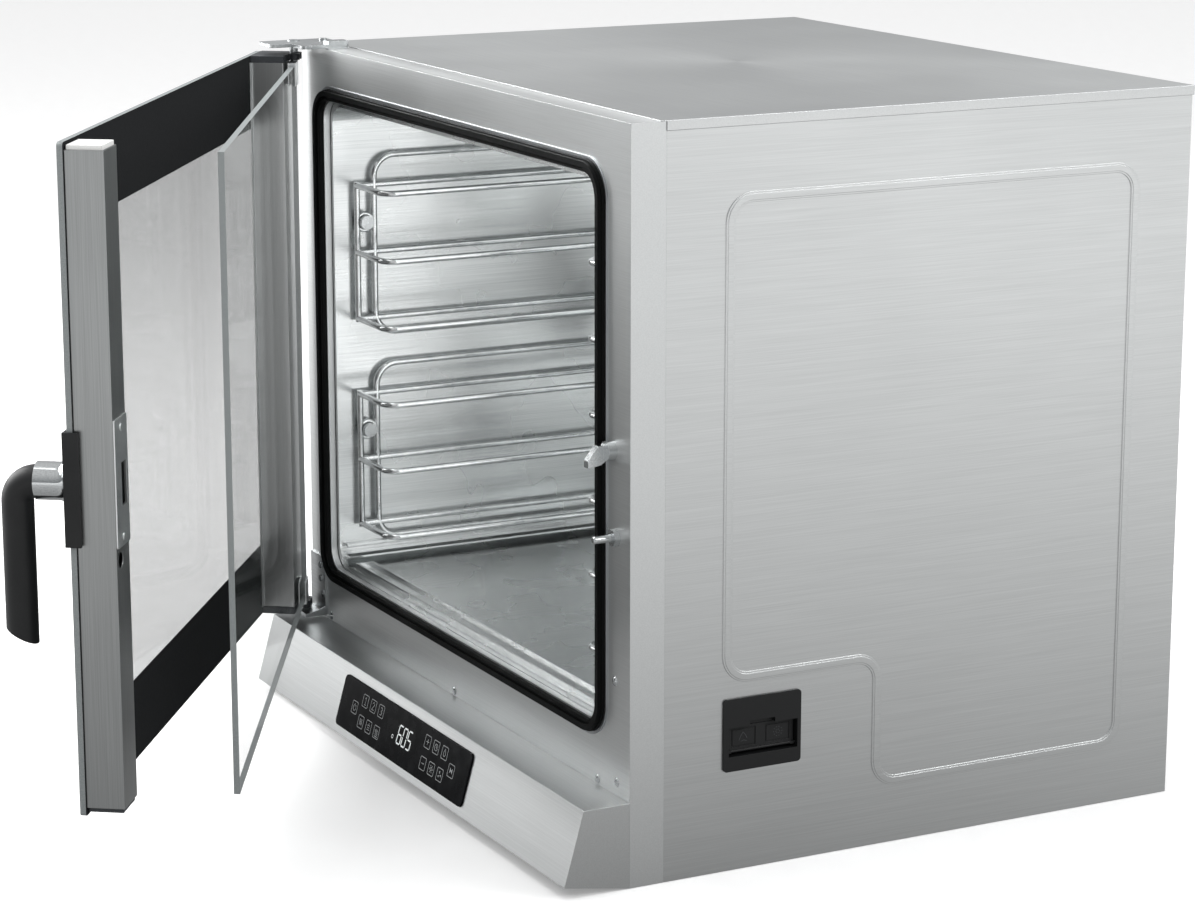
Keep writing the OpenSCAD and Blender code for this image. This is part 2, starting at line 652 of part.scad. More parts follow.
module heater_rings() color("#7b6f66") {
  for (i = [0:2]) translate([cx, back_y - 32 - i * 16, cz]) rotate([90, 0, 0])
    rotate_extrude() translate([heat_r, 0]) circle(4.2);
  // one foot bar a side carries the rings' ends up to the bushings in the wall
  for (x = heater_ends) {
    box(x - 3, x + 3, back_y - 69, back_y - 27, cz + heat_r - 3, cz + heat_r + 21);
    cyl_y(x, cz + heat_r + 24, back_y - 72, back_y + 24, 4.5);
  }
  difference() {
    box(heater_ends[0] - 10, heater_ends[1] + 10, back_y + 0.1, back_y + 4,
      cz + heat_r + 12, cz + heat_r + 36);
    cyl_y(cx, cz + heat_r + 24, back_y - 1, back_y + 6, 4);
  }
}

module water_nozzle() color("#a9adb0") {
  difference() {
    union() {
      cyl_y(feed_x, cz, baffle_y + 8, back_y + 52, 3.2);
      cyl_x(baffle_y + 8, cz, feed_x - 3, cx - 24, 3.2);
      cyl_y(feed_x, cz, back_y + 1, back_y + 5, 9);
    }
    cyl_y(feed_x, cz, baffle_y + 16, back_y + 60, 2);
  }
  cyl_z(feed_x, back_y + 52, 78, cz + 3, 3.2);
}

module water_valve() color("#d8d9d6") {
  difference() {
    union() {
      cyl_y(feed_x, 62, body_d - 40, body_d + 20, 13.2);
      translate([feed_x, body_d + 5.2, 62]) rotate([90, 0, 0]) cylinder(h = 5, r = 18, $fn = 6);
      box(feed_x - 16, feed_x + 16, body_d - 62, body_d - 36, 46, 78);
    }
    cyl_y(feed_x, 62, body_d - 30, body_d + 24, 9.5);
  }
  box(feed_x - 13, feed_x + 13, body_d - 96, body_d - 62, 48, 76);
  cyl_y(feed_x, 62, body_d - 108, body_d - 96, 8);
}

module drain_strainer() color("#aeb1b3") difference() {
  union() {
    cyl_z(cx, drain_y, lz0 + 0.05, lz0 + 2, 40);
    cyl_z(cx, drain_y, lz0 - 10, lz0 + 0.05, 31);
  }
  cyl_z(cx, drain_y, lz0 - 11, lz0 - 1, 29);
  for (r = [12, 24], i = [0:7]) translate([cx, drain_y, 0]) rotate([0, 0, i * 45 + r])
    cyl_z(r, 0, lz0 - 2, lz0 + 3, 3);
}

module drain_pipe() color("#8f9395") difference() {
  union() {
    cyl_z(cx, drain_y, 66, lz0 - 1.6, 33.5);
    cyl_y(cx, 66, drain_y, body_d + 4, 19);
    cyl_y(cx, 66, body_d + 2, body_d + 34, 20);
    cyl_z(cx, drain_y, 46, 66, 24);
  }
  cyl_z(cx, drain_y, 56, lz0, 31.2);
  cyl_y(cx, 66, drain_y + 20, body_d + 40, 17.4);
}

module exhaust_pipe() color("#9a9da0") {
  // collector box over the opening in the chamber's ceiling
  difference() {
    box(vent_x - 22, vent_x + 22, back_y - 152, back_y - 108, lz1 + wall, lz1 + 54);
    box(vent_x - 20.6, vent_x + 20.6, back_y - 150.6, back_y - 109.4, lz1, lz1 + 52.6);
    cyl_y(vent_x, vent_z, back_y - 115, back_y - 100, 18.6);
  }
  difference() {
    union() {
      cyl_y(vent_x, vent_z, back_y - 108.5, body_d + 4, 19.8);
      cyl_y(vent_x, vent_z, body_d + 2, body_d + 32, 20.5);
    }
    cyl_y(vent_x, vent_z, back_y - 120, body_d + 40, 18.6);
    cyl_x(back_y - 10, vent_z, vent_x - 24, vent_x + 24, 2.5 + play);
  }
}

module vent_damper() color("#b7babc") {
  intersection() {
    cyl_y(vent_x, vent_z, back_y - 11, back_y - 9, 18.1);
    translate([vent_x, back_y - 10, vent_z]) sphere(18.1);
  }
  cyl_x(back_y - 10, vent_z, vent_x - 30, vent_x + 22, 2.5);
  box(vent_x - 29, vent_x - 27, back_y - 13, back_y - 7, vent_z - 8, vent_z + 8);
}

module damper_motor() color("#46494c") difference() {
  union() {
    box(vent_x - 62, vent_x - 31, back_y - 30, back_y + 10, lz1 + 4, lz1 + 52);
    box(vent_x - 62, vent_x - 20, back_y + 10, back_y + 11.5, lz1 + 4, lz1 + 50);
  }
  cyl_x(back_y - 10, vent_z, vent_x - 40, vent_x - 30.9, 3);
  cyl_y(vent_x, vent_z, back_y + 8, back_y + 14, 20.2);
}

module temperature_probe() color("#9ea2a4") {
  cyl_x(back_y - 40, lz1 - 70, lx1 - 46, lx1 + 20, 3);
  cyl_x(back_y - 40, lz1 - 70, lx1 + 1.6, lx1 + 6, 8);
}

module chamber_lamp() color("#8f9294") {
  difference() {
    union() {
      cyl_z(cx + 170, 250, lz1 - 6, lz1 + 26, 31.5);
      cyl_z(cx + 170, 250, lz1 - 5, lz1 - 0.1, 40);
      cyl_z(cx + 170, 250, lz1 + 26, lz1 + 40, 14);
    }
    cyl_z(cx + 170, 250, lz1 + 0.5, lz1 + 20, 29);
    cyl_z(cx + 170, 250, lz1 - 7, lz1 - 3, 29);
  }
  cyl_z(cx + 170, 250, lz1 + 6, lz1 + 22, 5);
}

// ---------------------------------------------------------------- latch, hinges

module latch_catch() color("#b0b3b5") {
  cyl_y(catch_x, handle_z + 12, -9, 0, 9.5);
  cyl_y(catch_x, handle_z + 12, 0, 12, 5);
  cyl_y(catch_x, handle_z + 12, sheet + 0.1, 7, 10);
  // wedge-shaped tongue that the handle's cam draws in
  translate([catch_x - 11, 0, 0]) rotate([90, 0, 90]) linear_extrude(9)
    polygon([[-3, handle_z + 4], [-3, handle_z + 17], [-15, handle_z + 17],
      [-26, handle_z + 3], [-26, handle_z - 4], [-12, handle_z - 2]]);
}

module switch_bush() color("#a4a7a9") difference() {
  union() {
    translate([switch_x, 0, switch_z]) rotate([90, 0, 0]) cylinder(h = 6, r = 9, $fn = 6);
    cyl_y(switch_x, switch_z, -1, 24, 6);
    cyl_y(switch_x, switch_z, sheet, 6, 9);
    box(switch_x - 12, switch_x + 9, 20, 34, switch_z - 14, switch_z + 14);
  }
  cyl_y(switch_x, switch_z, -8, 18, 4 + play);
  cyl_y(switch_x, switch_z, 14, 31, 5.2);
}

module door_switch_pin() color("#c6c8ca") {
  cyl_y(switch_x, switch_z, -25, 17, 4);
  cyl_y(switch_x, switch_z, 14.4, 17, 5);
  translate([switch_x, -25, switch_z]) rotate([90, 0, 0]) cylinder(h = 1.5, r1 = 4, r2 = 2.6);
}

module upper_hinge() color("#a5a8aa") {
  difference() {
    union() {
      // plate on top of the frame, reaching forward over the door
      translate([0, 0, body_h + 0.1]) linear_extrude(4) {
        rrect(px - 11, px + 60, py - 14, frame_t - 10, 6);
        rrect(px - 11, px + 30, py - 40, 0, 8);
      }
      box(px + 44, px + 60, 2, 26, body_h + 4, body_h + 8);
      box(px - 10, px + 60, 1.6, 26, body_h - 1 + 0.05, body_h + 0.2);
    }
    hinge_screw_holes();
  }
  cyl_z(px, py, sz1 + 1.2, body_h + 2, pin_d / 2);
  cyl_z(px, py, body_h, body_h + 5.2, pin_d / 2 + 2);
}

module lower_hinge() color("#a5a8aa") {
  difference() {
    union() {
      box(px - 10, px + 32, -3, 0, dz0 - 7, dz0 + 62);
      box(px - 10, px + 32, py - 12, -3, dz0 - 7, dz0 - 3);
      // folded gusset between the plate and the flange
      translate([px + 30, 0, 0]) rotate([90, 0, 90]) linear_extrude(2)
        polygon([[-3, dz0 - 3], [-3, dz0 + 3], [py - 6, dz0 - 3]]);
    }
    for (p = low_screw_at) cyl_y(p[0], p[1], -4, 1, 2.6);
  }
  cyl_z(px, py, dz0 - 5, sz0 - 1.2, pin_d / 2);
  cyl_z(px, py, dz0 - 3, dz0 - 0.4, pin_d / 2 + 3);
}

module hinge_screws() color("#8e9193") {
  for (p = low_screw_at) {
    cyl_y(p[0], p[1], -4.6, -3, 4);
    cyl_y(p[0], p[1], -3, 6, 2.5);
  }
  for (x = [px + 10, px + 36]) {
    cyl_z(x, 16, body_h + 4.1, body_h + 6.4, 4.5);
    cyl_z(x, 16, body_h - 3, body_h + 4.1, 2.5);
  }
}

// ---------------------------------------------------------------- service hatch

module hatch_bezel() color("#1f2022") difference() {
  union() {
    slab_x(xr, 2.2) rrect(hy0, hy1, hz0, hz1, 4);
    box(xr - 26, xr + 0.1, hy0 + 3.2, hy1 - 3.2, hz0 + 3.2, hz1 - 3.2);
  }
  // pocket with the flap, ports on its floor
  box(xr - 12, xr + 4, hy0 + 6, hy1 - 4, hz0 + 15, hz0 + 45);
  box(xr - 24, xr - 11, hy0 + 14, hy0 + 28, hz0 + 27, hz0 + 34);
  cyl_x(hy1 - 22, hz0 + 31, xr - 24, xr - 11, 4);
  // shallow finger scoop above the flap
  box(xr - 4, xr + 4, hy0 + 30, hy1 - 30, hz0 + 45, hz0 + 50);
  cyl_y(xr - 4, hz0 + 19, hy0 + 4.2, hy1 - 4.2 + 2, 1.6 + play);
}

module hatch_flap() color("#2a2c2e") {
  difference() {
    box(xr - 7, xr - 4, hy0 + 7.5, hy1 - 5.5, hz0 + 19, hz0 + 44.5);
    for (y = [hy0 + 12, hy0 + 51]) box(xr - 4.8, xr - 3, y, y + 28, hz0 + 23, hz0 + 42);
  }
  for (y = [hy0 + 13.5, hy0 + 52.5]) box(xr - 5, xr - 4.1, y, y + 25, hz0 + 24.5, hz0 + 40.5);
  cyl_y(xr - 4, hz0 + 19, hy0 + 5, hy1 - 3.2, 1.6);
  for (y = [hy0 + 7.5, hy1 - 9.5]) box(xr - 5.6, xr - 2.4, y, y + 4, hz0 + 17.4, hz0 + 20.6);
}

// ---------------------------------------------------------------- door

module outer_glass() color("#9fb4b0") on_door() difference() {
  translate([0, out_n - 0.2, 0]) rotate([90, 0, 0]) linear_extrude(glass_t - 0.2)
    rrect(-12, free_s, dz0, dz1, 4);
  cyl_y(axis_s, handle_z, out_n - 10, out_n + 1, 8);
}

module glass_print() color("#17181a") on_door() translate([0, out_n, 0]) rotate([90, 0, 0])
  linear_extrude(0.2) difference() {
    rrect(-12, free_s, dz0, dz1, 4);
    translate([40, dz0 + 83]) square([free_s - 212, dz1 - dz0 - 165]);
    translate([axis_s, handle_z]) circle(8);
  }

module latch_stile() color("#b3b5b7") on_door() {
  difference() {
    box(stile_s0, stile_s1, out_n, in_n, sz0, sz1);
    box(stile_s0 + 1.5, stile_s1 - 1.5, out_n + 1.5, in_n - 1.5, sz0 - 1, sz1 + 1);
    cyl_y(axis_s, handle_z, out_n - 1, out_n + 3, 8);
    // slot for the tongue and hole for the switch pin
    box(axis_s - 15, axis_s + 2, in_n - 3, in_n + 1, handle_z - 22, handle_z + 20);
    cyl_y(axis_s + 8, switch_z, in_n - 3, in_n + 1, 7.5);
    for (z = [handle_z - 52, handle_z + 54]) cyl_y(axis_s, z, in_n - 3, in_n + 1, 2.1);
  }
  // lip that holds the outer glass's free edge
  box(stile_s0 - 6, stile_s0, out_n, out_n + 1.5, sz0, sz1);
}

module hinge_stile() color("#8c8e90") on_door() {
  difference() {
    box(hinge_w - 55 - 10, hinge_w - 10, out_n, in_n, sz0, sz1);
    box(hinge_w - 55 - 8.5, hinge_w - 11.5, out_n + 1.5, in_n - 1.5, sz0 - 1, sz1 + 1);
  }
  box(hinge_w - 10, hinge_w - 4, out_n, out_n + 1.5, sz0, sz1);
}

// end caps of both stiles; the hinge-side caps hold the door pins and the pane pins
module door_caps() color("#2b2d30") on_door() for (t = [0, 1]) {
  z0 = t == 0 ? dz0 : sz1;
  difference() {
    union() {
      translate([0, 0, z0]) linear_extrude(8 - t) {
        translate([-12, out_n + 0.5]) square([hinge_w + 3, stile_t - 0.5]);
        circle(9);
        translate([-9, -6]) square([28, 6]);
        translate([pane_s, pane_n]) circle(6.5);
      }
      box(-8, hinge_w - 12, out_n + 2, in_n - 2, t == 0 ? sz0 : sz1 - 14, t == 0 ? sz0 + 14 : sz1);
      box(stile_s0 + 2, stile_s1 - 2, out_n + 2, in_n - 2, t == 0 ? sz0 - 4 : sz1 - 14,
        t == 0 ? sz0 + 14 : sz1 + 4);
    }
    cyl_z(0, 0, z0 - 20, z0 + 20, pin_d / 2 + play);
    cyl_z(pane_s, pane_n, t == 0 ? z0 + 2 : z0 - 1, t == 0 ? z0 + 9 : z0 + 5.5, 3 + play);
  }
}

module latch_plate() color("#9b9ea0") on_door() {
  difference() {
    translate([0, in_n + 1.5, 0]) rotate([90, 0, 0]) linear_extrude(1.5)
      rrect(stile_s0 + 1, stile_s1 - 1, handle_z - 60, handle_z + 64, 2);
    box(axis_s - 15, axis_s + 2, in_n - 1, in_n + 2, handle_z - 22, handle_z + 20);
    for (z = [handle_z - 52, handle_z + 54]) cyl_y(axis_s, z, in_n - 1, in_n + 2, 2);
  }
  for (z = [handle_z - 52, handle_z + 54]) {
    cyl_y(axis_s, z, in_n - 5, in_n + 1.6, 2);
    cyl_y(axis_s, z, in_n + 1.5, in_n + 2.4, 3.6);
  }
}

module inner_pane() {
  color("#b9cac6") on_pane() box(5, pane_l, -glass_t / 2, glass_t / 2, pz0, pz1);
}

module pane_clips() color("#a9acae") on_pane() for (t = [0, 1]) {
  z0 = t == 0 ? pz0 - 4 : pz1 - 22;
  difference() {
    union() {
      box(0, 30, -4.5, 4.5, z0, z0 + 26);
      cyl_z(0, 0, z0, z0 + 26, 4.5);
    }
    box(4.9, 31, -glass_t / 2 - 0.05, glass_t / 2 + 0.05, t == 0 ? pz0 - 0.05 : z0 - 1,
      t == 0 ? z0 + 27 : pz1 + 0.05);
  }
  cyl_z(0, 0, t == 0 ? dz0 + 2.4 : z0, t == 0 ? z0 + 26 : sz1 + 5, 3);
}

// ---------------------------------------------------------------- handle

module handle_base() color("#222427") on_door() difference() {
  union() {
    box(axis_s - 18, free_s + 4, out_n - glass_t - 4, out_n - glass_t, handle_z - 58, handle_z + 53);
    box(free_s + 1, free_s + 4, out_n - glass_t, out_n + 6, handle_z - 58, handle_z + 53);
    cyl_y(axis_s, handle_z, out_n - glass_t, out_n, 7.8);
  }
  cyl_y(axis_s, handle_z, out_n - glass_t - 6, out_n + 1, 5 + play);
}

module handle_neck() color("#cfd2d4") on_door() {
  n0 = out_n - glass_t - 4;
  neck_r = grip_d / 2 + neck_over;
  difference() {
    union() {
      translate([axis_s, n0, handle_z]) rotate([90, 0, 0]) rotate_extrude()
        polygon(concat([[0, 0]], [for (i = [0:10]) [neck_r + 6 * pow(1 - i / 10, 2.4), i * 1.2]],
          [[neck_r, neck_len], [0, neck_len]]));
      // long foot of the neck
      translate([0, n0, 0]) rotate([90, 0, 0]) linear_extrude(3) {
        translate([axis_s, handle_z - 22]) circle(18);
        translate([axis_s - 18, handle_z - 22]) square([36, 22]);
      }
    }
    cyl_y(axis_s, handle_z, n0 - neck_len - 1, n0 + 1, 5 + play);
  }
}

module handle_lever() color("#2a2b2d") on_door() {
  n1 = out_n - glass_t - 4 - neck_len - 0.3;
  r = grip_d / 2;
  br = 20;
  difference() {
    union() {
      translate([axis_s, n1, handle_z - br]) rotate([0, 0, 180]) rotate([90, 0, 90])
        bend(br, r);
      cyl_z(axis_s, n1 - br, handle_z - grip_len, handle_z - br, r);
    }
    // slanting lower end
    translate([axis_s - 30, n1 - br, handle_z - grip_len + 8]) rotate([-28, 0, 0])
      translate([0, -40, -40]) cube([60, 80, 40]);
  }
  // spindle, with the hooked cam inside the stile
  cyl_y(axis_s, handle_z, n1 - 6, out_n + 26, 5);
  difference() {
    cyl_y(axis_s, handle_z, out_n + 14, out_n + 24, 15);
    box(axis_s - 20, axis_s - 4, out_n + 13, out_n + 25, handle_z - 4, handle_z + 20);
  }
}

front_frame();
chamber_liner();
threshold_channel();
door_gasket();
gasket_retainer();
side_panel_right();
side_panel_left();
top_cover();
rear_panel();
base_plate();
insulation();
casing_screws();
control_console();
control_glass();
control_board();
fascia_screws();
power_board();
switchgear();
rack_lower_left();
rack_upper_left();
rack_lower_right();
rack_upper_right();
rack_studs();
fan_baffle();
baffle_screws();
fan_wheel();
shaft_seal();
fan_motor();
heater_rings();
water_nozzle();
water_valve();
drain_strainer();
drain_pipe();
exhaust_pipe();
vent_damper();
damper_motor();
temperature_probe();
chamber_lamp();
cable_gland();
cooling_fan();
cooling_wheel();
latch_catch();
switch_bush();
door_switch_pin();
upper_hinge();
lower_hinge();
hinge_screws();
hatch_bezel();
hatch_flap();
outer_glass();
glass_print();
latch_stile();
hinge_stile();
door_caps();
latch_plate();
inner_pane();
pane_clips();
handle_base();
handle_neck();
handle_lever();
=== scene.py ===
"""Combi steamer: finishes, printed symbols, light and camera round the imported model."""

import json
import math

import bmesh
import bpy
from bpy.props import FloatProperty, FloatVectorProperty, PointerProperty, StringProperty
from bpy.types import Operator, Panel, PropertyGroup
from mathutils import Matrix, Vector

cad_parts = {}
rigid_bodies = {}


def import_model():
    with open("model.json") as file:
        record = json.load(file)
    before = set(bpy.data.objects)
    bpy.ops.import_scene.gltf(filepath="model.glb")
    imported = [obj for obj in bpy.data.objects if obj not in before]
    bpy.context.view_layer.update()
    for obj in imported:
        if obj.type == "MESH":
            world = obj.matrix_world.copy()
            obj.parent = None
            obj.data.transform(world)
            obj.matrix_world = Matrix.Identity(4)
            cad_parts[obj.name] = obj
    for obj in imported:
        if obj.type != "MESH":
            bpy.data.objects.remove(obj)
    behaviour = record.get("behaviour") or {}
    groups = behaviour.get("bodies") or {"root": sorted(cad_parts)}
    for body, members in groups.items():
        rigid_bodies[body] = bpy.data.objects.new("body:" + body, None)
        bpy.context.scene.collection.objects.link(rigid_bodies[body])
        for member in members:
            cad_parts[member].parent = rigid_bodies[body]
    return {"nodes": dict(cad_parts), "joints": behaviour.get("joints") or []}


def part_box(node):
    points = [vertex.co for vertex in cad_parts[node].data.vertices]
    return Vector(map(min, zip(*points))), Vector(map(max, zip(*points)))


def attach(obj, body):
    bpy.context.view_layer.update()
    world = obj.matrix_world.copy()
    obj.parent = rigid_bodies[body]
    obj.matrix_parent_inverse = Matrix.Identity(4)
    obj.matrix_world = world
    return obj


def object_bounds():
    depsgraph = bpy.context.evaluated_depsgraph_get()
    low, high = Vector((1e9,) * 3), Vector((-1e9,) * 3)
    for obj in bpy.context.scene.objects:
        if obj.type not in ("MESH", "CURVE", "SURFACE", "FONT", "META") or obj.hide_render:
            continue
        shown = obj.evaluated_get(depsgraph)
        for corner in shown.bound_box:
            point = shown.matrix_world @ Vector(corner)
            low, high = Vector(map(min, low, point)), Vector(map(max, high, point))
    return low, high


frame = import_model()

bl_info = {
    "name": "Combi steamer finishes",
    "version": (1, 0, 0),
    "blender": (4, 5, 0),
    "location": "3D View > Sidebar > Steamer",
    "description": "Gives the packed combi steamer its materials, symbols, light and camera",
    "category": "Object",
}

MM = 0.001
# every cut or moulded edge is broken by about half a millimetre
EDGE_RADIUS = 0.5 * MM
# corners closer than this are one
WELD_GAP = 0.005 * MM
# ink on the touch glass: how far off the glass it starts, and its thickness
INK_LIFT = 0.02 * MM
INK_DEPTH = 0.05 * MM
CAD_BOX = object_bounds()


# ------------------------------------------------------------------ places taken from the frame

def middle(node):
    """Centre of a CAD node's box."""
    low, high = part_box(node)
    return (low + high) / 2


def centre_line(node):
    """X of the frame's middle, measured from a CAD node's own middle."""
    low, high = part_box(node)
    return -(low.x + high.x) / 2


def joint_of(name):
    """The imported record's joint of that name."""
    return next(joint for joint in frame["joints"] if joint["name"] == name)


def door_plane():
    """Matrix from the door's own measures (along, outward, up, from the hinge) to the frame."""
    axis = Vector(joint_of("door_hinge")["pos_m"])
    handle = Vector(joint_of("handle_turn")["pos_m"])
    outward = Vector(joint_of("handle_turn")["axis"]).normalized()
    along = Vector((-outward.y, outward.x, 0.0))
    if along.dot(handle - axis) < 0:
        along = -along
    turn = Matrix((along, outward, Vector((0, 0, 1)))).transposed().to_4x4()
    return Matrix.Translation((axis.x, axis.y, 0.0)) @ turn


def console_plane():
    """Matrix from the touch glass's own measures (right, up the slope, outward) to the frame."""
    glass = frame["nodes"]["control_glass"]
    outward = max(
        (polygon for polygon in glass.data.polygons if polygon.normal.y < -0.5),
        key=lambda polygon: polygon.area,
    )
    normal = outward.normal.copy()
    right = Vector((1, 0, 0))
    up = normal.cross(right).normalized()
    if up.z < 0:
        up = -up
    front = max(vertex.co.dot(normal) for vertex in glass.data.vertices)
    centre = middle("control_glass")
    centre += normal * (front - centre.dot(normal))
    turn = Matrix((right, up, normal)).transposed().to_4x4()
    return Matrix.Translation(centre) @ turn


# ------------------------------------------------------------------ materials

def linear(hex_colour):
    """Turns an sRGB hex value such as #b9bbbb into a linear colour."""
    channels = [int(hex_colour[i:i + 2], 16) / 255 for i in (1, 3, 5)]
    return [c / 12.92 if c <= 0.04045 else ((c + 0.055) / 1.055) ** 2.4 for c in channels] + [1.0]


def add(tree, kind, inputs=(), **settings):
    """Adds one shader node, sets its own settings, then fills or links its inputs."""
    made = tree.nodes.new(kind)
    for name, value in settings.items():
        setattr(made, name, value)
    for socket, value in dict(inputs).items():
        if isinstance(value, bpy.types.NodeSocket):
            tree.links.new(value, made.inputs[socket])
        else:
            made.inputs[socket].default_value = value
    return made


def new_surface(name, metallic=0.0, ior=None):
    """A material with one Principled shader, and the object's own coordinates in metres. Its
    colour and roughness come from the patterns that are linked to it."""
    material = bpy.data.materials.new(name)
    material.use_nodes = True
    tree = material.node_tree
    tree.nodes.clear()
    shader = add(tree, "ShaderNodeBsdfPrincipled", {"Metallic": metallic})
    if ior is not None:
        shader.inputs["IOR"].default_value = ior
    add(tree, "ShaderNodeOutputMaterial", {"Surface": shader.outputs["BSDF"]})
    place = add(tree, "ShaderNodeTexCoord").outputs["Object"]
    return material, tree, shader, place


def scratches(tree, place, along, length_mm, spacing_mm):
    """Parallel belt-grinding lines: noise drawn out along one axis, spread to the full 0 to 1."""
    counts = [1 / (spacing_mm * MM)] * 3
    counts["XYZ".index(along)] = 1 / (length_mm * MM)
    stretched = add(tree, "ShaderNodeMapping", {"Vector": place, "Scale": counts})
    lines = add(tree, "ShaderNodeTexNoise",
                {"Vector": stretched.outputs["Vector"], "Scale": 1.0, "Detail": 3.0,
                 "Roughness": 0.62})
    return add(tree, "ShaderNodeMapRange",
               {"Value": lines.outputs["Fac"], "From Min": 0.3, "From Max": 0.7}
               ).outputs["Result"]


def mottle(tree, place, size_mm, detail):
    """Soft uneven patches of one size, spread to the full 0 to 1."""
    patches = add(tree, "ShaderNodeTexNoise",
                  {"Vector": place, "Scale": 1 / (size_mm * MM), "Detail": detail,
                   "Roughness": 0.55})
    return add(tree, "ShaderNodeMapRange",
               {"Value": patches.outputs["Fac"], "From Min": 0.32, "From Max": 0.68}
               ).outputs["Result"]


def wear(tree, shader, pattern, tones, roughness, relief_mm, gloss_pattern=None):
    """Lets one pattern drive the tone and the relief, and it or a second one the gloss."""
    tone = add(tree, "ShaderNodeMix", {0: pattern, 6: linear(tones[0]), 7: linear(tones[1])},
               data_type="RGBA")
    tree.links.new(tone.outputs[2], shader.inputs["Base Color"])
    gloss = add(tree, "ShaderNodeMapRange",
                {"Value": gloss_pattern or pattern, "To Min": roughness[0],
                 "To Max": roughness[1]})
    tree.links.new(gloss.outputs["Result"], shader.inputs["Roughness"])
    if relief_mm:
        worn_edge = add(tree, "ShaderNodeBevel", {"Radius": EDGE_RADIUS}, samples=4)
        relief = add(tree, "ShaderNodeBump",
                     {"Height": pattern, "Distance": relief_mm * MM,
                      "Normal": worn_edge.outputs["Normal"]})
        tree.links.new(relief.outputs["Normal"], shader.inputs["Normal"])


def patched(name, size_mm, detail, tones, roughness, relief_mm, ior=None, gloss=None, level=0.5):
    """A surface worn in soft patches. No IOR means a metal, gloss is the size and detail of a
    second pattern for the gloss alone, and level is how strongly it mirrors."""
    material, tree, shader, place = new_surface(name, 0.0 if ior else 1.0, ior)
    patches = mottle(tree, place, size_mm, detail)
    second = mottle(tree, place, *gloss) if gloss else None
    wear(tree, shader, patches, tones, roughness, relief_mm, second)
    shader.inputs["Specular IOR Level"].default_value = level
    return material


def brushed_stainless(name, along, tones, roughness=(0.3, 0.36)):
    """Cold-rolled stainless sheet, belt-brushed in one direction: long fine lines that spread
    highlights across the grain. The real lines are 0.1 mm apart; 1.1 mm shows in a render."""
    material, tree, shader, place = new_surface(name, metallic=1.0)
    lines = scratches(tree, place, along, 120, 1.1)
    cloud = mottle(tree, place, 260, 2.0)
    wear(tree, shader, lines, tones, roughness, 0.0015, cloud)
    shader.inputs["Anisotropic"].default_value = 0.35
    return material


def polished_chamber_stainless(name, along, tones):
    """Deep-drawn stainless with a bright annealed face: a soft mirror, with faint drawing lines
    and a bloom of lime where steam dries."""
    material, tree, shader, place = new_surface(name, metallic=1.0)
    lines = scratches(tree, place, along, 140, 1.6)
    bloom = mottle(tree, place, 90, 2.0)
    wear(tree, shader, lines, tones, (0.22, 0.32), 0.0008, bloom)
    return material


def electropolished_wire():
    """Electropolished stainless wire, bright all round, a little duller where trays rub."""
    return patched("electropolished_wire", 14, 3.0, ("#d2d5d6", "#e6e8e8"), (0.1, 0.2), 0.001)


def turned_stainless(name, tones=("#b2b5b6", "#c0c3c4"), roughness=(0.2, 0.36)):
    """Turned or pressed stainless small parts: satin, with fine tool marks 0.9 mm across."""
    return patched(name, 0.9, 2.0, tones, roughness, 0.002, gloss=(22, 3.0))


def galvanised_sheet():
    """Hot-dip galvanised base sheet: 12 mm zinc spangles, each with its own grey."""
    material, tree, shader, place = new_surface("galvanised_sheet", metallic=1.0)
    spangle = add(tree, "ShaderNodeTexVoronoi", {"Vector": place, "Scale": 1 / (12 * MM)})
    crystal = add(tree, "ShaderNodeSeparateColor", {"Color": spangle.outputs["Color"]})
    wear(tree, shader, crystal.outputs["Red"], ("#8f9598", "#b7bcbe"), (0.34, 0.52), 0.004)
    return material


def silicone_rubber():
    """Extruded black silicone: soft sheen and a dry matt bloom, with 2 mm extrusion ripple."""
    return patched("silicone_rubber", 2.0, 2.0, ("#0b0c0c", "#121313"), (0.44, 0.6), 0.02,
                   ior=1.42, gloss=(45, 3.0), level=0.1)


def moulded_polyamide(name, tones, grain_mm=0.8, roughness=(0.4, 0.56)):
    """Glass-filled polyamide from a spark-eroded mould: an even fine leathery grain that
    breaks up the highlight. The grain is 0.3 mm on the part and 0.8 mm or more here, to show."""
    material, tree, shader, place = new_surface(name, ior=1.53)
    grain = add(tree, "ShaderNodeTexVoronoi", {"Vector": place, "Scale": 1 / (grain_mm * MM)})
    touched = mottle(tree, place, 35, 3.0)
    wear(tree, shader, grain.outputs["Distance"], tones, roughness, 0.02, touched)
    shader.inputs["Specular IOR Level"].default_value = 0.3
    return material


def clear_pane(name, body, cover):
    """Toughened soda-lime glass. The panes are seen almost edge on, where real glass mirrors
    strongly, so most of the face is left open and its mirror is held down with it."""
    material, tree, shader, place = new_surface(name, ior=1.5)
    shader.inputs["Base Color"].default_value = linear(body)
    strokes = scratches(tree, place, "Z", 300, 60)
    haze = add(tree, "ShaderNodeMapRange", {"Value": strokes, "To Min": 0.02, "To Max": 0.06})
    tree.links.new(haze.outputs["Result"], shader.inputs["Roughness"])
    shader.inputs["Alpha"].default_value = cover
    shader.inputs["Specular IOR Level"].default_value = 0.35
    return material


def ground_glass_edge():
    """Cut edge of toughened glass, ground flat: dull grey-green with 1 mm wheel marks."""
    return patched("ground_glass_edge", 1.0, 2.0, ("#7e8384", "#939898"), (0.34, 0.5), 0.01,
                   ior=1.5)


def fired_enamel_print():
    """Black ceramic enamel fired onto glass: dense, even and without gloss of its own, with
    3 mm clouds that barely show."""
    return patched("fired_enamel_print", 3.0, 2.0, ("#2b2c2d", "#2e2f30"), (0.24, 0.28), 0.0,
                   ior=1.52, level=0.0)


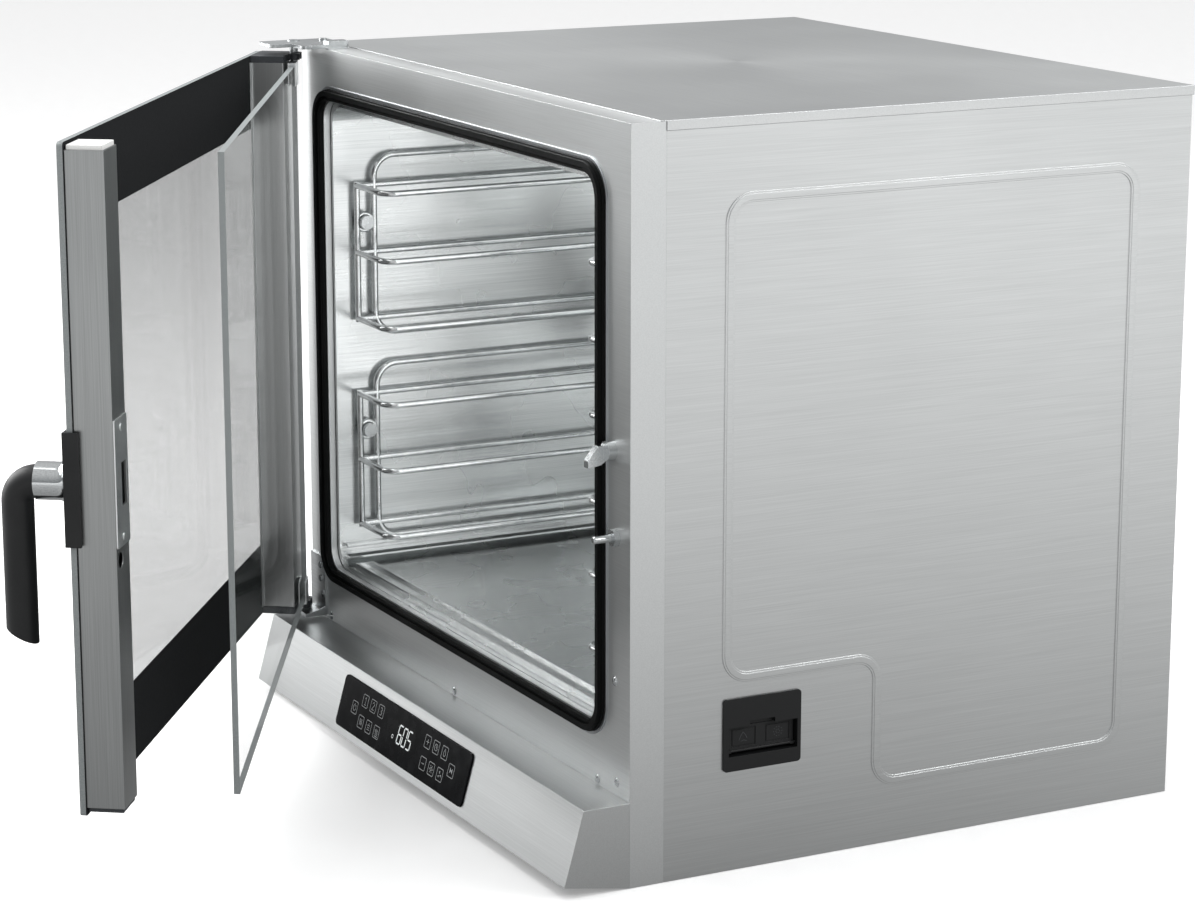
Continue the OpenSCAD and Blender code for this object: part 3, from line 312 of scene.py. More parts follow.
def touch_panel_glass():
    """Back-printed black touch glass: deep black under a clear gloss, with finger smears."""
    return patched("touch_panel_glass", 18, 4.0, ("#0f1012", "#161719"), (0.06, 0.2), 0.0,
                   ior=1.52, level=0.03)


def polished_steel():
    """Turned and buffed stainless: nearly a mirror, with fine tool marks 1 mm across."""
    return patched("polished_steel", 1.0, 1.0, ("#b0b3b4", "#c2c5c6"), (0.07, 0.16), 0.0,
                   gloss=(16, 3.0))


def satin_aluminium():
    """Rolled aluminium strip with a clear anodised skin: pale grey, satin, fine rolling lines."""
    material, tree, shader, place = new_surface("satin_aluminium", metallic=1.0)
    lines = scratches(tree, place, "Z", 60, 1.0)
    wear(tree, shader, lines, ("#94979a", "#b0b3b5"), (0.28, 0.42), 0.004)
    return material


def mineral_wool():
    """Pressed stone-wool board: matt tangled fibres in straw yellow, 1.5 mm bundles."""
    material, tree, shader, place = new_surface("mineral_wool", ior=1.5)
    fibres = add(tree, "ShaderNodeTexNoise",
                 {"Vector": place, "Scale": 1 / (1.5 * MM), "Detail": 5.0, "Roughness": 0.7,
                  "Distortion": 3.0})
    wear(tree, shader, fibres.outputs["Fac"], ("#a8935a", "#e2d299"), (0.9, 1.0), 0.9)
    shader.inputs["Sheen Weight"].default_value = 0.3
    return material


def circuit_board():
    """Glass-epoxy board under green solder resist: semi-gloss, with 2.5 mm track runs."""
    material, tree, shader, place = new_surface("circuit_board", ior=1.5)
    tracks = add(tree, "ShaderNodeTexBrick",
                 {"Vector": place, "Scale": 1.0, "Mortar Size": 0.0004,
                  "Brick Width": 18 * MM, "Row Height": 2.5 * MM,
                  "Color1": linear("#2c6038"), "Color2": linear("#265532"),
                  "Mortar": linear("#4f8d5c")})
    tree.links.new(tracks.outputs["Color"], shader.inputs["Base Color"])
    gloss = add(tree, "ShaderNodeMapRange",
                {"Value": tracks.outputs["Fac"], "To Min": 0.42, "To Max": 0.26})
    tree.links.new(gloss.outputs["Result"], shader.inputs["Roughness"])
    return material


def hammered_enamel(name, tones):
    """Stoved grey machine enamel over a casting: 2.2 mm orange peel under a dull gloss."""
    return patched(name, 2.2, 2.0, tones, (0.34, 0.52), 0.05, ior=1.5)


def heat_tinted_alloy():
    """Nickel-alloy heater sheath oxidised by use: dark straw to blue-brown patches, 25 mm."""
    return patched("heat_tinted_alloy", 25, 4.0, ("#4e4744", "#8a7660"), (0.42, 0.6), 0.01)


def sintered_bronze():
    """Sintered bronze seal ring: dull gold with 0.7 mm open pores."""
    return patched("sintered_bronze", 0.7, 2.0, ("#8a673b", "#c19a63"), (0.42, 0.62), 0.03)


def lit_segment():
    """Light-emitting segment behind smoked glass: cool white, a little uneven."""
    material, tree, shader, place = new_surface("lit_segment", ior=1.5)
    glow = mottle(tree, place, 3.0, 1.0)
    wear(tree, shader, glow, ("#d6dadb", "#f4f6f6"), (0.35, 0.5), 0.0)
    shader.inputs["Emission Color"].default_value = linear("#e6ebec")
    shader.inputs["Emission Strength"].default_value = 0.3
    return material


def screen_ink(name, tones):
    """Screen-printed two-pack ink: flat, slightly uneven where the mesh let it through."""
    return patched(name, 0.6, 1.0, tones, (0.48, 0.62), 0.004, ior=1.48)


def seamless_backdrop():
    """Matt painted studio floor, pale to the eye. In reflections it glows more the further off
    it is, as between black flags and far soft lights, which shades upright steel downwards."""
    material, tree, shader, place = new_surface("seamless_backdrop", ior=1.45)
    roller = mottle(tree, place, 40, 2.0)
    wear(tree, shader, roller, ("#f3f3f3", "#f7f7f7"), (0.8, 0.9), 0.0)
    shader.inputs["Emission Color"].default_value = linear("#ffffff")
    shader.inputs["Emission Strength"].default_value = 0.14
    far = add(tree, "ShaderNodeVectorMath", {0: place}, operation="LENGTH")
    root = add(tree, "ShaderNodeMath", {0: far.outputs["Value"], 1: 0.5}, operation="POWER")
    glow = add(tree, "ShaderNodeMapRange",
               {"Value": root.outputs["Value"], "From Min": 0.6, "From Max": 2.3,
                "To Min": 0.34, "To Max": 1.4})
    # painted light: the floor glows for reflected rays only, brighter further off, to shade the
    # steel downwards
    reflected_glow = add(tree, "ShaderNodeEmission", {"Strength": glow.outputs["Result"]})
    ray = add(tree, "ShaderNodeLightPath")
    seen = add(tree, "ShaderNodeMixShader",
               {0: ray.outputs["Is Camera Ray"], 1: reflected_glow.outputs["Emission"],
                2: shader.outputs["BSDF"]})
    output = next(n for n in tree.nodes if n.type == "OUTPUT_MATERIAL")
    tree.links.new(seen.outputs["Shader"], output.inputs["Surface"])
    return material


# ------------------------------------------------------------------ shaping helpers

def finish_nodes(material, slot, *nodes):
    """Gives CAD nodes a material in every slot they have."""
    for name in nodes:
        item = frame["nodes"][name]
        if not item.material_slots:
            item.data.materials.append(material)
        for holder in item.material_slots:
            holder.material = material


def soften_edges(width_mm, *nodes):
    """Rounds the sharp edges of folded or moulded CAD nodes, as a press brake or mould does."""
    for name in nodes:
        item = frame["nodes"][name]
        weld = item.modifiers.new("join", "WELD")
        weld.merge_threshold = WELD_GAP
        bevel = item.modifiers.new("edge", "BEVEL")
        bevel.width = width_mm * MM
        bevel.segments = 2
        bevel.limit_method = "ANGLE"
        bevel.angle_limit = math.radians(50)
        shade = item.modifiers.new("shade", "WEIGHTED_NORMAL")
        shade.weight = 100


def stroke(points, width):
    """Outline corners of an open line drawn with a square pen, as left and right sides."""
    left, right = [], []
    for index, point in enumerate(points):
        before = points[max(index - 1, 0)]
        after = points[min(index + 1, len(points) - 1)]
        into = (Vector(point) - Vector(before)).normalized() if index else None
        out = (Vector(after) - Vector(point)).normalized() if index < len(points) - 1 else None
        ahead = ((into or out) + (out or into)).normalized()
        side = Vector((-ahead.y, ahead.x))
        stretch = 1 / max(side.dot(Vector((-(out or into).y, (out or into).x))), 0.4)
        left.append(Vector(point) + side * width / 2 * stretch)
        right.append(Vector(point) - side * width / 2 * stretch)
    return left, right


class Print:
    """Flat ink shapes gathered into one thin solid mesh on a plane."""

    def __init__(self):
        self.mesh = bmesh.new()

    def line(self, points, width, closed=False):
        """One pen line; a closed one ends where it began."""
        path = list(points) + [points[0], points[1]] if closed else list(points)
        left, right = stroke(path, width)
        if closed:
            left, right = left[1:], right[1:]
        lefts = [self.mesh.verts.new((p.x, p.y, 0)) for p in left]
        rights = [self.mesh.verts.new((p.x, p.y, 0)) for p in right]
        for i in range(len(lefts) - 1):
            self.mesh.faces.new((rights[i], rights[i + 1], lefts[i + 1], lefts[i]))

    def patch(self, points):
        """One filled outline."""
        self.mesh.faces.new([self.mesh.verts.new((x, y, 0)) for x, y in points])

    def done(self, name, plane, thickness, material, body, slot):
        """Makes the gathered shapes a piece that rides on a body."""
        bmesh.ops.remove_doubles(self.mesh, verts=self.mesh.verts, dist=0.001 * MM)
        bmesh.ops.recalc_face_normals(self.mesh, faces=self.mesh.faces)
        for face in self.mesh.faces:
            if face.normal.z < 0:
                face.normal_flip()
        top = bmesh.ops.extrude_face_region(self.mesh, geom=self.mesh.faces[:])
        raised = [item for item in top["geom"] if isinstance(item, bmesh.types.BMVert)]
        bmesh.ops.translate(self.mesh, verts=raised, vec=(0, 0, thickness))
        bmesh.ops.recalc_face_normals(self.mesh, faces=self.mesh.faces)
        place_mesh(self.mesh, name, plane, material, body)


def place_mesh(mesh, name, plane, material, body):
    """Turns a bmesh into a piece of the object."""
    data = bpy.data.meshes.new(name)
    mesh.transform(plane)
    mesh.to_mesh(data)
    mesh.free()
    data.materials.append(material)
    piece = bpy.data.objects.new(name, data)
    bpy.context.scene.collection.objects.link(piece)
    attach(piece, body)


def arc(centre, radius, start, end, steps=14):
    """Points of an arc, angles in degrees."""
    return [(centre[0] + radius * math.cos(math.radians(start + (end - start) * i / steps)),
             centre[1] + radius * math.sin(math.radians(start + (end - start) * i / steps)))
            for i in range(steps + 1)]


def rounded_square(centre, side, radius):
    """Corner points of a square with rounded corners, each an arc of four steps."""
    half = side / 2 - radius
    points = []
    for start, (sx, sy) in zip((0, 90, 180, 270), ((1, 1), (-1, 1), (-1, -1), (1, -1))):
        points += arc((centre[0] + sx * half, centre[1] + sy * half), radius, start,
                      start + 90, steps=4)
    return points


def rounded_block(size, radius):
    """A box with rounded edges, centred on the origin."""
    mesh = bmesh.new()
    bmesh.ops.create_cube(mesh, size=1.0)
    bmesh.ops.scale(mesh, vec=size, verts=mesh.verts)
    bmesh.ops.bevel(mesh, geom=mesh.edges[:], offset=radius, segments=3, profile=0.5,
                    affect="EDGES")
    return mesh


# ------------------------------------------------------------------ sizes and colours

class STEAMER_PG_finishes(PropertyGroup):
    """Colours of the steamer's surfaces."""
    casing_dark: StringProperty(
        name="Casing, dark line", description="Darker tone of the brushed casing sheet",
        default="#c2c4c4")
    casing_light: StringProperty(
        name="Casing, bright line", description="Brighter tone of the brushed casing sheet",
        default="#cdcfcf")
    chamber_dark: StringProperty(
        name="Chamber, dark", description="Darker tone of the chamber's polished sheet",
        default="#cdd0d0")
    chamber_light: StringProperty(
        name="Chamber, bright", description="Brighter tone of the chamber's polished sheet",
        default="#e0e2e2")
    plastic_dark: StringProperty(
        name="Black plastic", description="Base tone of the black moulded parts",
        default="#161718")
    glass_body: StringProperty(
        name="Glass body", description="Colour that the clear panes add", default="#4a4f4e")


class STEAMER_PG_symbols(PropertyGroup):
    """Sizes of the printed symbols on the touch glass."""
    key_side: FloatProperty(
        name="Key frame", description="Side of a key's square frame", default=13.6 * MM,
        min=8 * MM, max=20 * MM, unit="LENGTH")
    key_pitch: FloatProperty(
        name="Key pitch", description="Distance between keys in a row", default=21.3 * MM,
        min=14 * MM, max=30 * MM, unit="LENGTH")
    row_gap: FloatProperty(
        name="Row distance", description="Distance between the two rows along the glass",
        default=23.8 * MM, min=16 * MM, max=30 * MM, unit="LENGTH")
    pen: FloatProperty(
        name="Line width", description="Width of a printed line", default=0.75 * MM,
        min=0.3 * MM, max=1.5 * MM, unit="LENGTH")
    digit_height: FloatProperty(
        name="Digit height", description="Height of a digit of the readout",
        default=20 * MM, min=10 * MM, max=30 * MM, unit="LENGTH")
    reading: StringProperty(
        name="Reading", description="Number that the readout shows", default="605")


class STEAMER_PG_stage(PropertyGroup):
    """Light, floor and camera."""
    focal_length: FloatProperty(
        name="Focal length", description="Camera lens", default=101.57, min=20, max=300,
        subtype="DISTANCE_CAMERA")
    azimuth: FloatProperty(
        name="Azimuth", description="Camera direction round the steamer, 0 is from the front",
        default=math.radians(62.605), subtype="ANGLE")
    elevation: FloatProperty(
        name="Elevation", description="Camera angle above the horizon",
        default=math.radians(13.006), subtype="ANGLE")
    stand: FloatVectorProperty(
        name="Camera place", description="Where the camera stands",
        default=(3.1772, -1.4748, 1.1636), subtype="TRANSLATION", unit="LENGTH")
    floor_size: FloatProperty(
        name="Floor", description="Side of the pale floor", default=60.0, min=5, max=200,
        unit="LENGTH")
    lamp_power: FloatProperty(
        name="Lamp power", description="Power of the main soft light in watts", default=150.0,
        min=10, max=2000)
    chamber_power: FloatProperty(
        name="Chamber light", description="Power of the light in the chamber in watts",
        default=1.05, min=0, max=50)
    sky: FloatProperty(
        name="Room light", description="Strength of the light from the pale room",
        default=0.9, min=0, max=5)


# ------------------------------------------------------------------ operators

class STEAMER_OT_casing(Operator):
    """Brushed stainless on the casing sheets"""
    bl_idname = "steamer.casing"
    bl_label = "Casing"

    def execute(self, context):
        colours = context.scene.steamer_finishes
        tones = (colours.casing_dark, colours.casing_light)
        across = brushed_stainless("brushed_stainless_across", "X", tones)
        deep = brushed_stainless("brushed_stainless_deep", "Y", tones)
        # the front frame is the casing's own steel; its paler tones are painted light that lifts
        # the fascia
        front = brushed_stainless("brushed_stainless_front_lit", "X", ("#cccece", "#d6d8d8"),
                                  (0.42, 0.48))
        finish_nodes(across, "brushed_steel", "top_cover", "rear_panel")
        finish_nodes(front, "brushed_steel", "front_frame")
        finish_nodes(deep, "brushed_steel", "side_panel_right", "side_panel_left")
        finish_nodes(galvanised_sheet(), "brushed_steel", "base_plate")
        soften_edges(0.7, "top_cover", "side_panel_right", "side_panel_left")
        return {"FINISHED"}


class STEAMER_OT_console(Operator):
    """Folded console with its black touch glass"""
    bl_idname = "steamer.console"
    bl_label = "Console"

    def execute(self, context):
        colours = context.scene.steamer_finishes
        sheet = brushed_stainless("brushed_stainless_console", "X",
                                  (colours.casing_dark, colours.casing_light))
        finish_nodes(sheet, "brushed_steel", "control_console")
        finish_nodes(touch_panel_glass(), "black_glass", "control_glass")
        soften_edges(0.8, "control_console")
        return {"FINISHED"}


class STEAMER_OT_touch_symbols(Operator):
    """Framed key symbols printed on the touch glass"""
    bl_idname = "steamer.touch_symbols"
    bl_label = "Touch symbols"

    # places along the glass, from the steamer's centre line, and a lift for both rows
    SINGLE_KEYS = {"power": -132 * MM, "play": 121 * MM}
    # middle column's place, then each column's upper and lower key
    KEY_BLOCKS = (
        (-88 * MM, (("one", "steam"), ("two", "heat"), ("three", "both"))),
        (77 * MM, (("plus", "minus"), ("clock", "lamp"), ("drop", "fan"))),
    )
    ROW_LIFT = 1.2 * MM
    FRAME_CORNER = 1.6 * MM
    # strokes of the simple symbols, in halves of a frame's side
    STROKES = {
        "one": (((-0.2, 0.35), (0.08, 0.6), (0.08, -0.6)), ((-0.25, -0.6), (0.4, -0.6))),
        "two": (((-0.32, 0.35), (-0.1, 0.6), (0.2, 0.6), (0.36, 0.3), (-0.34, -0.6),
                 (0.4, -0.6)),),
        "three": (((-0.3, 0.55), (0.15, 0.6), (0.34, 0.3), (0.0, 0.03), (0.36, -0.28),
                   (0.15, -0.6), (-0.32, -0.52)),),
        "plus": (((-0.45, 0.0), (0.45, 0.0)), ((0.0, 0.45), (0.0, -0.45))),
        "minus": (((-0.45, 0.0), (0.45, 0.0)),),
        "drop": (((0.0, 0.65), (-0.3, 0.1), (-0.38, -0.2), (-0.2, -0.5), (0.0, -0.58),
                  (0.2, -0.5), (0.38, -0.2), (0.3, 0.1), (0.0, 0.65)),),
    }

    def execute(self, context):
        sizes = context.scene.steamer_symbols
        ink = screen_ink("grey_key_ink", ("#a9acad", "#c2c5c6"))
        shift = centre_line("control_glass")
        frames, marks = Print(), Print()
        upper, lower = sizes.row_gap / 2 + self.ROW_LIFT, -sizes.row_gap / 2 + self.ROW_LIFT
        keys = {name: (x + shift, 0.0) for name, x in self.SINGLE_KEYS.items()}
        for x, columns in self.KEY_BLOCKS:
            for column, (above, below) in enumerate(columns):
                column_x = x + shift + (column - 1) * sizes.key_pitch
                keys[above] = (column_x, upper)
                keys[below] = (column_x, lower)
        for name, centre in keys.items():
            frames.line(rounded_square(centre, sizes.key_side, self.FRAME_CORNER), sizes.pen,
                        closed=True)
            self.symbol(marks, name, centre, sizes.key_side / 2, sizes.pen)
        plane = console_plane() @ Matrix.Translation((0, 0, INK_LIFT))
        frames.done("key_frames", plane, INK_DEPTH, ink, "casing", "light_plastic")
        marks.done("key_marks", plane, INK_DEPTH, ink, "casing", "light_plastic")
        return {"FINISHED"}

    def symbol(self, marks, name, centre, half, pen):
        """One symbol in its frame; half is half the frame's side."""
        def at(x, y):
            return centre[0] + x * half, centre[1] + y * half

        def lines(*paths):
            for path in paths:
                marks.line([at(x, y) for x, y in path], pen)

        if name in self.STROKES:
            lines(*self.STROKES[name])
        elif name == "power":
            marks.line(arc(centre, half * 0.5, 120, 420), pen)
            lines([(0, 0.15), (0, 0.7)])
        elif name == "play":
            marks.patch([at(-0.4, 0.45), at(-0.4, -0.45), at(0.05, 0.0)])
            marks.patch([at(0.45, 0.45), at(0.0, 0.0), at(0.45, -0.45)])
        elif name in ("steam", "both"):
            for x in (-0.35, 0.0, 0.35):
                lines([(x, -0.5), (x + 0.14, -0.2), (x - 0.08, 0.15), (x + 0.06, 0.5)])
            if name == "both":
                lines([(-0.55, -0.7), (0.55, -0.7)])
        elif name == "heat":
            for y in (-0.45, -0.1, 0.25):
                lines([(-0.45, y), (0.45, y)])
            lines([(0.0, 0.35), (0.0, 0.65)])
        elif name == "clock":
            marks.line(arc(centre, half * 0.52, 0, 350, 24), pen)
            lines([(0.0, 0.35), (0.0, 0.0), (0.25, -0.12)])
        elif name == "lamp":
            marks.line(arc(centre, half * 0.28, 0, 350, 18), pen)
            for turn in range(0, 360, 60):
                x, y = math.cos(math.radians(turn)), math.sin(math.radians(turn))
                lines([(0.45 * x, 0.45 * y), (0.68 * x, 0.68 * y)])
        elif name == "fan":
            for turn in (90, 210, 330):
                x, y = math.cos(math.radians(turn)), math.sin(math.radians(turn))
                wide = math.radians(turn + 40)
                marks.patch([at(0.1 * x, 0.1 * y), at(0.62 * x, 0.62 * y),
                             at(0.55 * math.cos(wide), 0.55 * math.sin(wide))])
        else:
            raise ValueError(f"no symbol is named {name}")


class STEAMER_OT_readout(Operator):
    """Seven-segment readout behind the touch glass"""
    bl_idname = "steamer.readout"
    bl_label = "Readout"

    # segments that each figure lights, from a at the top, clockwise to f, with g in the middle
    LIT = {"0": "abcdef", "1": "bc", "2": "abdeg", "3": "abcdg", "4": "bcfg", "5": "acdfg",
           "6": "acdefg", "7": "abc", "8": "abcdefg", "9": "abcdfg"}
    # middle of the readout, along the glass from the steamer's centre line and up it
    MIDDLE = (1.5 * MM, 2.2 * MM)
    # a digit's width and pen, as shares of its height, and its lean
    DIGIT_WIDTH, DIGIT_PEN, LEAN = 0.44, 0.09, 0.08
    # the small ring before the digits
    RING_RADIUS, RING_PEN = 1.9 * MM, 0.7 * MM

    def execute(self, context):
        sizes = context.scene.steamer_symbols
        tall = sizes.digit_height
        wide, pen = tall * self.DIGIT_WIDTH, tall * self.DIGIT_PEN
        step = wide + pen * 1.9
        centre = Vector((self.MIDDLE[0] + centre_line("control_glass"), self.MIDDLE[1]))
        digits = Print()
        for place, figure in enumerate(sizes.reading):
            if figure not in self.LIT:
                raise ValueError(f"the readout shows numbers only, not {figure}")
            middle_x = centre.x + (place - (len(sizes.reading) - 1) / 2) * step
            for segment in self.LIT[figure]:
                self.segment(digits, segment, middle_x, centre.y, wide, tall, pen)
        ring = (centre.x - step * 2.35, centre.y - tall * 0.3)
        digits.line(arc(ring, self.RING_RADIUS, 0, 350, 20), self.RING_PEN)
        plane = console_plane() @ Matrix.Translation((0, 0, INK_LIFT))
        digits.done("readout_digits", plane, INK_DEPTH, lit_segment(), "casing",
                    "light_plastic")
        return {"FINISHED"}

    def segment(self, digits, name, x, y, wide, tall, pen):
        """One six-cornered bar of a digit, with a little gap at its ends."""
        w, h, gap = wide / 2, tall / 2, pen * 0.14
        ends = {"a": ((-w, h), (w, h)), "d": ((-w, -h), (w, -h)), "g": ((-w, 0), (w, 0)),
                "f": ((-w, 0), (-w, h)), "b": ((w, 0), (w, h)), "e": ((-w, -h), (-w, 0)),
                "c": ((w, -h), (w, 0))}[name]
        start, end = Vector(ends[0]), Vector(ends[1])
        ahead = (end - start).normalized()
        side = Vector((-ahead.y, ahead.x)) * pen / 2
        start, end = start + ahead * gap, end - ahead * gap
        inset = ahead * pen / 2
        outline = [start, start + inset - side, end - inset - side, end, end - inset + side,
                   start + inset + side]
        digits.patch([(x + p.x + p.y * self.LEAN, y + p.y) for p in outline])


class STEAMER_OT_chamber(Operator):
    """Polished chamber, its baffle and what is fitted in it"""
    bl_idname = "steamer.chamber"
    bl_label = "Chamber"

    def execute(self, context):
        colours = context.scene.steamer_finishes
        tones = (colours.chamber_dark, colours.chamber_light)
        finish_nodes(polished_chamber_stainless("chamber_stainless", "Y", tones),
                     "chamber_steel", "chamber_liner", "threshold_channel")
        finish_nodes(polished_chamber_stainless("baffle_stainless", "X", tones),
                     "chamber_steel", "fan_baffle", "fan_wheel")
        finish_nodes(turned_stainless("fitting_stainless"), "pipe_steel", "drain_strainer",
                     "water_nozzle", "temperature_probe", "chamber_lamp", "rack_studs")
        finish_nodes(turned_stainless("knurled_stainless", ("#9a9d9f", "#bdc0c1")),
                     "screw_steel", "baffle_screws")
        finish_nodes(heat_tinted_alloy(), "heater_sheath", "heater_rings")
        return {"FINISHED"}


class STEAMER_OT_racks(Operator):
    """The four wire racks"""
    bl_idname = "steamer.racks"
    bl_label = "Wire racks"

    def execute(self, context):
        finish_nodes(electropolished_wire(), "bright_wire", "rack_lower_left",
                     "rack_upper_left", "rack_lower_right", "rack_upper_right")
        return {"FINISHED"}


class STEAMER_OT_seal(Operator):
    """Door gasket and the strip that holds it"""
    bl_idname = "steamer.seal"
    bl_label = "Door seal"

    def execute(self, context):
        finish_nodes(silicone_rubber(), "seal_rubber", "door_gasket")
        finish_nodes(satin_aluminium(), "retainer", "gasket_retainer")
        return {"FINISHED"}


class STEAMER_OT_door(Operator):
    """Glass door, its stiles, caps and inner pane"""
    bl_idname = "steamer.door"
    bl_label = "Door"

    # taken off the outer pane, so that its back and the print share no plane
    PANE_INSET = 0.03 * MM

    def execute(self, context):
        colours = context.scene.steamer_finishes
        stile = brushed_stainless("brushed_stainless_stile", "Z",
                                  (colours.casing_dark, colours.casing_light))
        # the latch stile is the same steel as the hinge stile; its darker tones are painted shade
        latch_stile = brushed_stainless("brushed_stainless_latch_stile_shaded", "Z",
                                        ("#8f9191", "#9c9e9e"), (0.32, 0.4))
        finish_nodes(stile, "brushed_steel", "hinge_stile")
        finish_nodes(latch_stile, "brushed_steel", "latch_stile")
        punched = turned_stainless("punched_stainless", ("#d2d5d6", "#e0e2e2"), (0.3, 0.4))
        finish_nodes(punched, "brushed_steel", "latch_plate", "pane_clips")
        finish_nodes(clear_pane("door_glass", colours.glass_body, 0.42), "clear_glass",
                     "outer_glass")
        finish_nodes(clear_pane("inner_pane_glass", colours.glass_body, 0.17), "clear_glass",
                     "inner_pane")
        edge = ground_glass_edge()
        for name in ("outer_glass", "inner_pane"):
            self.grind_edges(frame["nodes"][name], edge)
        finish_nodes(fired_enamel_print(), "black_glass", "glass_print")
        # the caps are black moulding; the grey tones given here are painted light, not their own
        # colour
        finish_nodes(moulded_polyamide("lit_black_polyamide", ("#303236", "#46494c")),
                     "black_plastic", "door_caps")
        soften_edges(0.9, "latch_stile", "hinge_stile")
        soften_edges(0.6, "door_caps")
        self.draw_in(frame["nodes"]["outer_glass"])
        return {"FINISHED"}

    def draw_in(self, pane):
        """Takes the inset off all of a pane's faces."""
        weld = pane.modifiers.new("join", "WELD")
        weld.merge_threshold = WELD_GAP
        inset = pane.modifiers.new("hair", "DISPLACE")
        inset.mid_level = 0.0
        inset.strength = -self.PANE_INSET

    def grind_edges(self, pane, edge):
        """Gives every face that isn't one of a pane's two large ones the ground edge."""
        pane.data.materials.append(edge)
        face = max(pane.data.polygons, key=lambda polygon: polygon.area).normal.copy()
        ground = len(pane.data.materials) - 1
        for polygon in pane.data.polygons:
            if abs(polygon.normal.dot(face)) < 0.9:
                polygon.material_index = ground


class STEAMER_OT_stile_insert(Operator):
    """White spacer block in the open top end of the latch stile"""
    bl_idname = "steamer.stile_insert"
    bl_label = "Stile insert"

    # the stile's body without the thin lip beside it, and the gap round the block
    STILE_WIDTH, WALL = 44 * MM, 1.8 * MM
    # how far the block stands out of the stile and into it, and its edge
    RISE, DEPTH, CORNER = 4.4 * MM, 8 * MM, 0.8 * MM

    def execute(self, context):
        door = door_plane()
        back = door.inverted()
        corners = [back @ vertex.co for vertex in frame["nodes"]["latch_stile"].data.vertices]
        far = max(corner.x for corner in corners)
        near = far - self.STILE_WIDTH
        thick = [min(corner.y for corner in corners), max(corner.y for corner in corners)]
        top = max(corner.z for corner in corners)
        block = rounded_block((far - near - 2 * self.WALL, thick[1] - thick[0] - 2 * self.WALL,
                               self.RISE + self.DEPTH), self.CORNER)
        centre = Vector(((far + near) / 2, sum(thick) / 2, top + (self.RISE - self.DEPTH) / 2))
        white = moulded_polyamide("white_polyamide", ("#e4e4e2", "#f2f2f0"))
        place_mesh(block, "stile_insert_cover", door @ Matrix.Translation(centre), white,
                   "door")
        return {"FINISHED"}


class STEAMER_OT_handle(Operator):
    """Black lever on a polished neck"""
    bl_idname = "steamer.handle"
    bl_label = "Handle"

    def execute(self, context):
        colours = context.scene.steamer_finishes
        black = moulded_polyamide("black_polyamide", (colours.plastic_dark, "#1e1f20"), 0.8,
                                  (0.42, 0.58))
        finish_nodes(black, "black_plastic", "handle_base", "handle_lever")
        finish_nodes(polished_steel(), "polished_neck", "handle_neck")
        soften_edges(0.8, "handle_base")
        return {"FINISHED"}


class STEAMER_OT_fittings(Operator):
    """Hinges, latch, switch and visible screws"""
    bl_idname = "steamer.fittings"
    bl_label = "Hinges and screws"

    def execute(self, context):
        plate = brushed_stainless("brushed_stainless_plate", "X", ("#a9acad", "#c6c9ca"),
                                  (0.24, 0.36))
        finish_nodes(plate, "hinge_steel", "upper_hinge", "lower_hinge")
        small = turned_stainless("turned_stainless", ("#aeb1b2", "#d0d3d4"), (0.14, 0.28))
        finish_nodes(small, "screw_steel", "latch_catch", "switch_bush", "door_switch_pin",
                     "fascia_screws", "hinge_screws", "casing_screws")
        soften_edges(0.5, "upper_hinge", "lower_hinge")
        return {"FINISHED"}


class STEAMER_OT_hatch(Operator):
    """Black service hatch in the side panel"""
    bl_idname = "steamer.hatch"
    bl_label = "Service hatch"

    def execute(self, context):
        bezel = moulded_polyamide("hatch_polyamide", ("#0e0f10", "#151617"), 0.9)
        flap = moulded_polyamide("flap_polyamide", ("#131415", "#1b1c1d"), 0.9, (0.46, 0.6))
        finish_nodes(bezel, "black_plastic", "hatch_bezel")
        finish_nodes(flap, "black_plastic", "hatch_flap")
        return {"FINISHED"}


class STEAMER_OT_hatch_marks(Operator):
    """Faint raised marks on the two fields of the hatch flap"""
    bl_idname = "steamer.hatch_marks"
    bl_label = "Hatch marks"

    # half a mark, its pen, a dot's radius and the marks' thickness
    HALF, PEN, DOT, THICK = 6.4 * MM, 0.6 * MM, 0.55 * MM, 0.15 * MM
    # the left mark's strokes, and the right one's rings of dots as radius and count
    STROKES = (((-0.7, -0.6), (-0.15, 0.5), (0.1, 0.75), (0.35, 0.45), (0.8, -0.3)),
               ((-0.3, -0.75), (0.2, -0.55), (0.7, -0.75)))
    RINGS = ((0.32, 6), (0.75, 10))

    def execute(self, context):
        low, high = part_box("hatch_flap")
        ink = screen_ink("dark_grey_ink", ("#3a3c3e", "#4a4c4e"))
        # each mark sits in the middle of its half of the flap
        quarter = (high.y - low.y) * 0.25
        marks = Print()
        for path in self.STROKES:
            marks.line([(-quarter + x * self.HALF, y * self.HALF) for x, y in path], self.PEN)
        for ring, count in self.RINGS:
            for i in range(count):
                turn = 2 * math.pi * i / count
                dot = (quarter + ring * self.HALF * math.cos(turn),
                       ring * self.HALF * math.sin(turn))
                marks.patch(arc(dot, self.DOT, 0, 330, 11))
        turn = Matrix(((0, 0, 1), (1, 0, 0), (0, 1, 0))).to_4x4()
        # the raised fields' face, which is the flap's face between its two frames
        plane = Matrix.Translation((self.field_face(), (low.y + high.y) / 2,
                                    low.z + (high.z - low.z) * 0.56)) @ turn
        marks.done("hatch_marks", plane, self.THICK, ink, "flap", "black_plastic")
        return {"FINISHED"}

    def field_face(self):
        """X of the outward face of the flap's two raised fields."""
        flap = frame["nodes"]["hatch_flap"].data
        level = {}
        for polygon in flap.polygons:
            if polygon.normal.x > 0.9:
                key = round(polygon.center.x, 5)
                level[key] = level.get(key, 0.0) + polygon.area
        below_rim = [key for key in level if key < max(level) - 0.05 * MM]
        return max(below_rim, key=lambda key: level[key]) if below_rim else max(level)


